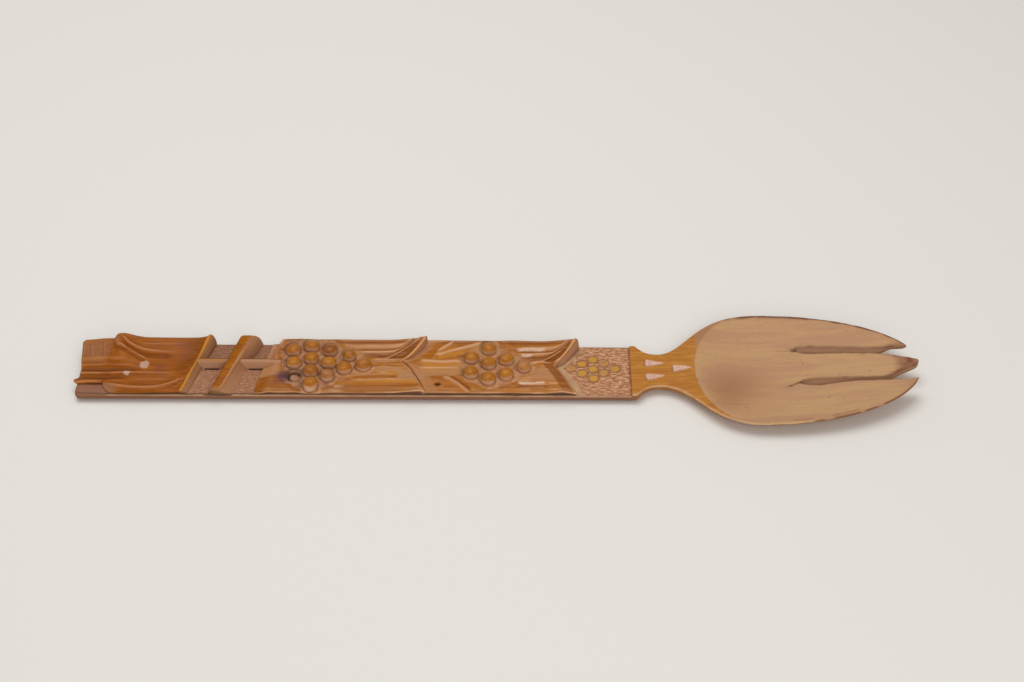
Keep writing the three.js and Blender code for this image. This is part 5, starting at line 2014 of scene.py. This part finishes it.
@dataclass
class StemRod:
    """Thin rib from the scroll's lip, lapped under the bar, into a housing in the rear leaf."""

    finish: ReliefFinish
    end_x: float = -76.6
    height: float = 3.4

    @staticmethod
    def section(near: Array, crown: Array, far: Array) -> Array:
        """One section: up the near side, over the crown and down the far side."""
        return np.concatenate([near, crown, far[:, ::-1]], axis=1)

    def build(self) -> Piece:
        """Carry a round-topped section along the stem, low where the bar laps it."""
        mesh = ClosedMesh()
        start = float(scroll_edge(STEM_Y)) + SEAT_GAP
        left = float(bar_left(STEM_Y)) + 0.1
        right = float(bar_left(STEM_Y)) + BAR_TOP_WIDTH - 1
        runs = ((start, left - 0.02, 40), (left, right, 12), (right + 0.02, self.end_x, 60))
        x = np.concatenate([np.linspace(*run) for run in runs])[:, None]
        lapped = (x >= left) & (x <= right)
        top = np.where(lapped, LAP_HEIGHT - SEAT_GAP, self.height - 0.3 * after(x, -82, 5))
        angle = np.linspace(math.pi, 0, 15)[None, :]
        rise = np.linspace(0, 1, 8)[None, :-1]
        half = STEM_WIDTH / 2
        crown = np.minimum(0.75, top * 0.4)
        slope = 0.2 * (1 - rise)
        side = top - crown
        whole = np.ones(rise.shape)
        y = STEM_Y + self.section(-half - slope, half * np.cos(angle), half + 0.2 * slope)
        z = GROUND + self.section(side * rise, side + crown * np.sin(angle), side * rise)
        wave = 0.12 * (noise(x / 4, 0, 5) - 0.5)
        foot = self.section(1 - rise, 0 * angle, 1 - rise)
        shadow = self.section(0 * whole, after(np.cos(angle), -0.1, 0.5), whole)
        face = self.section(whole, np.abs(np.cos(angle)) ** 3, whole)
        masks = {
            "bare": mix(face, 1, 0.7 * after(x, -97, 3)),
            "dust": face,
            "crest": 0.2 * (1 - face),
            "grime": 0.75 * shadow,
        }
        index = mesh.add_points(x, y + wave * (foot < 1), z, masks)
        mesh.add_grid(np.concatenate([index, index[:, :1]], axis=1))
        mesh.add_cap(index[0])
        mesh.add_cap(index[-1][::-1])
        return mesh.to_object("stem_relief", "stem_rod", self.finish.material())


@dataclass
class GrapePegs:
    """Domed pegs of one bunch, each a little different, standing in their sockets."""

    prefix: str
    node_prefix: str
    bunch: Bunch
    finish: GrapeFinish
    sizes: dict[int, float] = field(default_factory=dict)
    rubbed: dict[int, float] = field(default_factory=dict)
    glow: float = 0.0
    radius: float = 2.72
    floor: float = 0.85
    side: float = 1.65
    dome: float = 2.1
    sectors: int = 48
    foot_rings: tuple[float, ...] = (0.93, 0.94, 0.96, 0.985)
    foot_levels: tuple[float, ...] = (0, 0.4, 0.75, 0.92)

    def build(self) -> list[Piece]:
        """Turn a peg about each centre."""
        material = self.finish.material()
        return [
            self.peg(number, centre, material)
            for number, centre in enumerate(self.bunch.centres(keep_empty=False), start=1)
        ]

    def peg(self, number: int, centre: Plan, material: Material) -> Piece:
        """Turn a dowel with a hand-cut dome: rings of the profile, pushed about by slow noise.

        Args:
            number: number of the peg in its bunch, which also seeds its shape.
            centre: plan place.
            material: the bunch's finish.

        Returns:
            The peg.
        """
        mesh = ClosedMesh()
        size = self.sizes.get(number, 1)
        rub = self.rubbed.get(number, 0)
        seed = number + 40 * len(self.bunch.counts)
        tone = mix(self.glow, 1, float(cell_hash(np.array(seed), np.array(3), 1)))
        angle = np.linspace(0, 2 * math.pi, self.sectors, endpoint=False)[:, None]
        ahead, beside = np.cos(angle), np.sin(angle)
        lift = np.linspace(0, math.pi / 2, 16)[:-1]
        ring = np.concatenate([self.foot_rings, np.cos(lift) ** 0.85])[None, :]
        foot_level = np.array(self.foot_levels) * self.side
        level = np.concatenate([foot_level, self.side + self.dome * np.sin(lift)])[None, :]
        lumps = noise(1.5 + ahead * 1.2, seed + beside * 1.2 + level * 0.4, seed) - 0.5
        radius = self.radius * size * ring * (1 + 0.14 * lumps)
        x, y = centre[0] + radius * ahead, centre[1] + radius * beside
        dents = noise(x / 2.2 + seed, y / 2.2, 2) - 0.5
        sunk = 0.3 * (1 - size) + 0.2 * tone + 0.7 * rub
        z = GROUND + self.floor + level + (0.5 * dents - sunk) * after(level, 1.2, 1.6)
        # Paler lower sides facing the near edge: bare wood and a painted highlight; rubbed pegs paler all
        # over
        facing = before(beside, 0.75, 1.5)
        worn = np.maximum(held(1.5 - (level - 1.2) / 1.4) * facing, rub)
        # Painted shade on the far and left sides and at the foot
        far_shade = 0.85 * after(beside - ahead, 0.1, 1.2) * before(level, 2.6, 0.9)
        left_shade = 0.51 * after(0.5 * beside - ahead, 0.1, 1) * before(level, 3.5, 1.4)
        foot = mix(0.1, 0.8, 1 - facing) * before(level, 1.1, 0.5)
        grime = np.maximum.reduce([far_shade, left_shade, foot])
        index = mesh.add_points(x, y, z, {"side": worn, "grime": grime, "tone": np.array(tone)})
        crown = np.array([z[:, -1].mean() + 0.02])
        pole = mesh.add_points(*centre, crown, {"tone": np.array(tone), "side": worn[:1, -1]})
        mesh.add_grid(np.concatenate([index, index[:1]]))
        mesh.add_fan(index[:, -1], int(pole[0]))
        mesh.add_cap(index[::-1, 0])
        name, node = (f"{prefix}_{number:02d}" for prefix in (self.prefix, self.node_prefix))
        return mesh.to_object(name, node, material)


# Studio


@dataclass
class Studio:
    """Pale floor, soft overhead light and the camera."""

    camera_at: Triple = (8.8, -436.2, 410.2)
    camera_aim: Triple = (5.12, 19.3, 0)
    focal_px: float = 1681.0
    image_width_px: float = 1024.0
    floor_colour: Colour = (236, 233, 227)

    def build(self) -> None:
        """Make the floor, lamps, world and camera."""
        self.make_floor()
        self.make_lamp("overhead_softbox", (-0.15, 0.2, 0.9), (0, 0.02, 0), 0.7, 4.2)
        self.make_lamp("front_fill", (0.25, -0.8, 0.55), (0, 0, 0), 0.6, 2.6)
        world = bpy.data.worlds.new("soft_room")
        world.use_nodes = True
        world.node_tree.nodes["Background"].inputs["Color"].default_value = (1, 0.98, 0.95, 1)
        world.node_tree.nodes["Background"].inputs["Strength"].default_value = 0.4
        bpy.context.scene.world = world
        self.make_camera()
        bpy.context.scene.view_settings.view_transform = "Standard"

    def make_floor(self) -> None:
        """Flat floor just under the part, in one pale colour."""
        mesh = bpy.data.meshes.new("floor")
        size = 4
        corners = [(-size, -size, 0), (size, -size, 0), (size, size, 0), (-size, size, 0)]
        mesh.from_pydata(corners, [], [(0, 1, 2, 3)])
        material = bpy.data.materials.new("floor_paper")
        material.use_nodes = True
        shader = material.node_tree.nodes["Principled BSDF"]
        shader.inputs["Base Color"].default_value = linear(self.floor_colour)
        shader.inputs["Roughness"].default_value = 0.9
        mesh.materials.append(material)
        floor = bpy.data.objects.new("floor", mesh)
        bpy.context.scene.collection.objects.link(floor)

    def make_lamp(self, name: str, place: Triple, aim: Triple, size: float, power: float) -> None:
        """Square area lamp.

        Args:
            name: name of the lamp.
            place: where it hangs, in metres.
            aim: what it points at.
            size: side of the square.
            power: in watts.
        """
        data = bpy.data.lights.new(name, "AREA")
        data.size = size
        data.energy = power
        lamp = bpy.data.objects.new(name, data)
        lamp.location = place
        lamp.rotation_euler = (Vector(aim) - Vector(place)).to_track_quat("-Z", "Y").to_euler()
        bpy.context.scene.collection.objects.link(lamp)

    def make_camera(self) -> None:
        """Camera at the photograph's viewing angle."""
        data = bpy.data.cameras.new("camera")
        data.sensor_fit = "HORIZONTAL"
        data.sensor_width = 36
        data.lens = data.sensor_width * self.focal_px / self.image_width_px
        camera = bpy.data.objects.new("camera", data)
        place, aim = Vector(self.camera_at) * MM, Vector(self.camera_aim) * MM
        camera.location = place
        camera.rotation_euler = (aim - place).to_track_quat("-Z", "Y").to_euler()
        bpy.context.scene.collection.objects.link(camera)
        bpy.context.scene.camera = camera


def main() -> None:
    """Build the studio and each piece in order, and report them."""
    logging.basicConfig(level=logging.INFO, format="%(message)s")
    Studio().build()
    effects = Effects()
    gloss = {"effects": effects, "coat_roughness": 0.22}
    leaf = ReliefFinish("leaf_varnish", bump=0.05, specular=0.12, **gloss)
    scroll = ReliefFinish(
        "scroll_varnish", bump=0.05, deep=(132, 66, 8), warm=(166, 92, 14), crest=(200, 136, 94),
        hollow=(104, 52, 6), bare=(160, 116, 84), coat=0, specular=0.12, **gloss)
    bar = ReliefFinish(
        "bar_varnish", bump=0.04, deep=(136, 70, 2), warm=(172, 100, 8), bare=(166, 121, 90),
        dust=(168, 122, 86), coat=0, specular=0.08, **gloss)
    stem = ReliefFinish("stem_varnish", bump=0.04, dust=(208, 160, 122), specular=0.14, **gloss)
    grape = GrapeFinish("grape_varnish", bump=0.04, specular=0.22, **gloss)
    board = BoardFinish("board_wood", bump=0.06, **gloss)
    rear_pegs = GrapePegs(
        "rear_berry", "rear_grape", REAR_BUNCH, grape, {11: 0.85, 12: 1.1}, {7: 0.4, 10: 0.15, 12: 0.35})
    front_pegs = GrapePegs(
        "front_berry", "front_grape", FRONT_BUNCH, grape, {8: 0.92}, {8: 0.45}, glow=0.78)
    pieces = [
        SporkBody(board).build(),
        EndScroll(scroll).build(),
        CrossBar(bar).build(),
        StemRod(stem).build(),
        RearLeaf(leaf, rows=280).build(),
        FrontLeaf(leaf, rows=280).build(),
        *rear_pegs.build(),
        *front_pegs.build(),
    ]
    for piece in pieces:
        LOG.info("%s: %d faces", piece.name, len(piece.data.polygons))


if __name__ == "__main__":
    main()
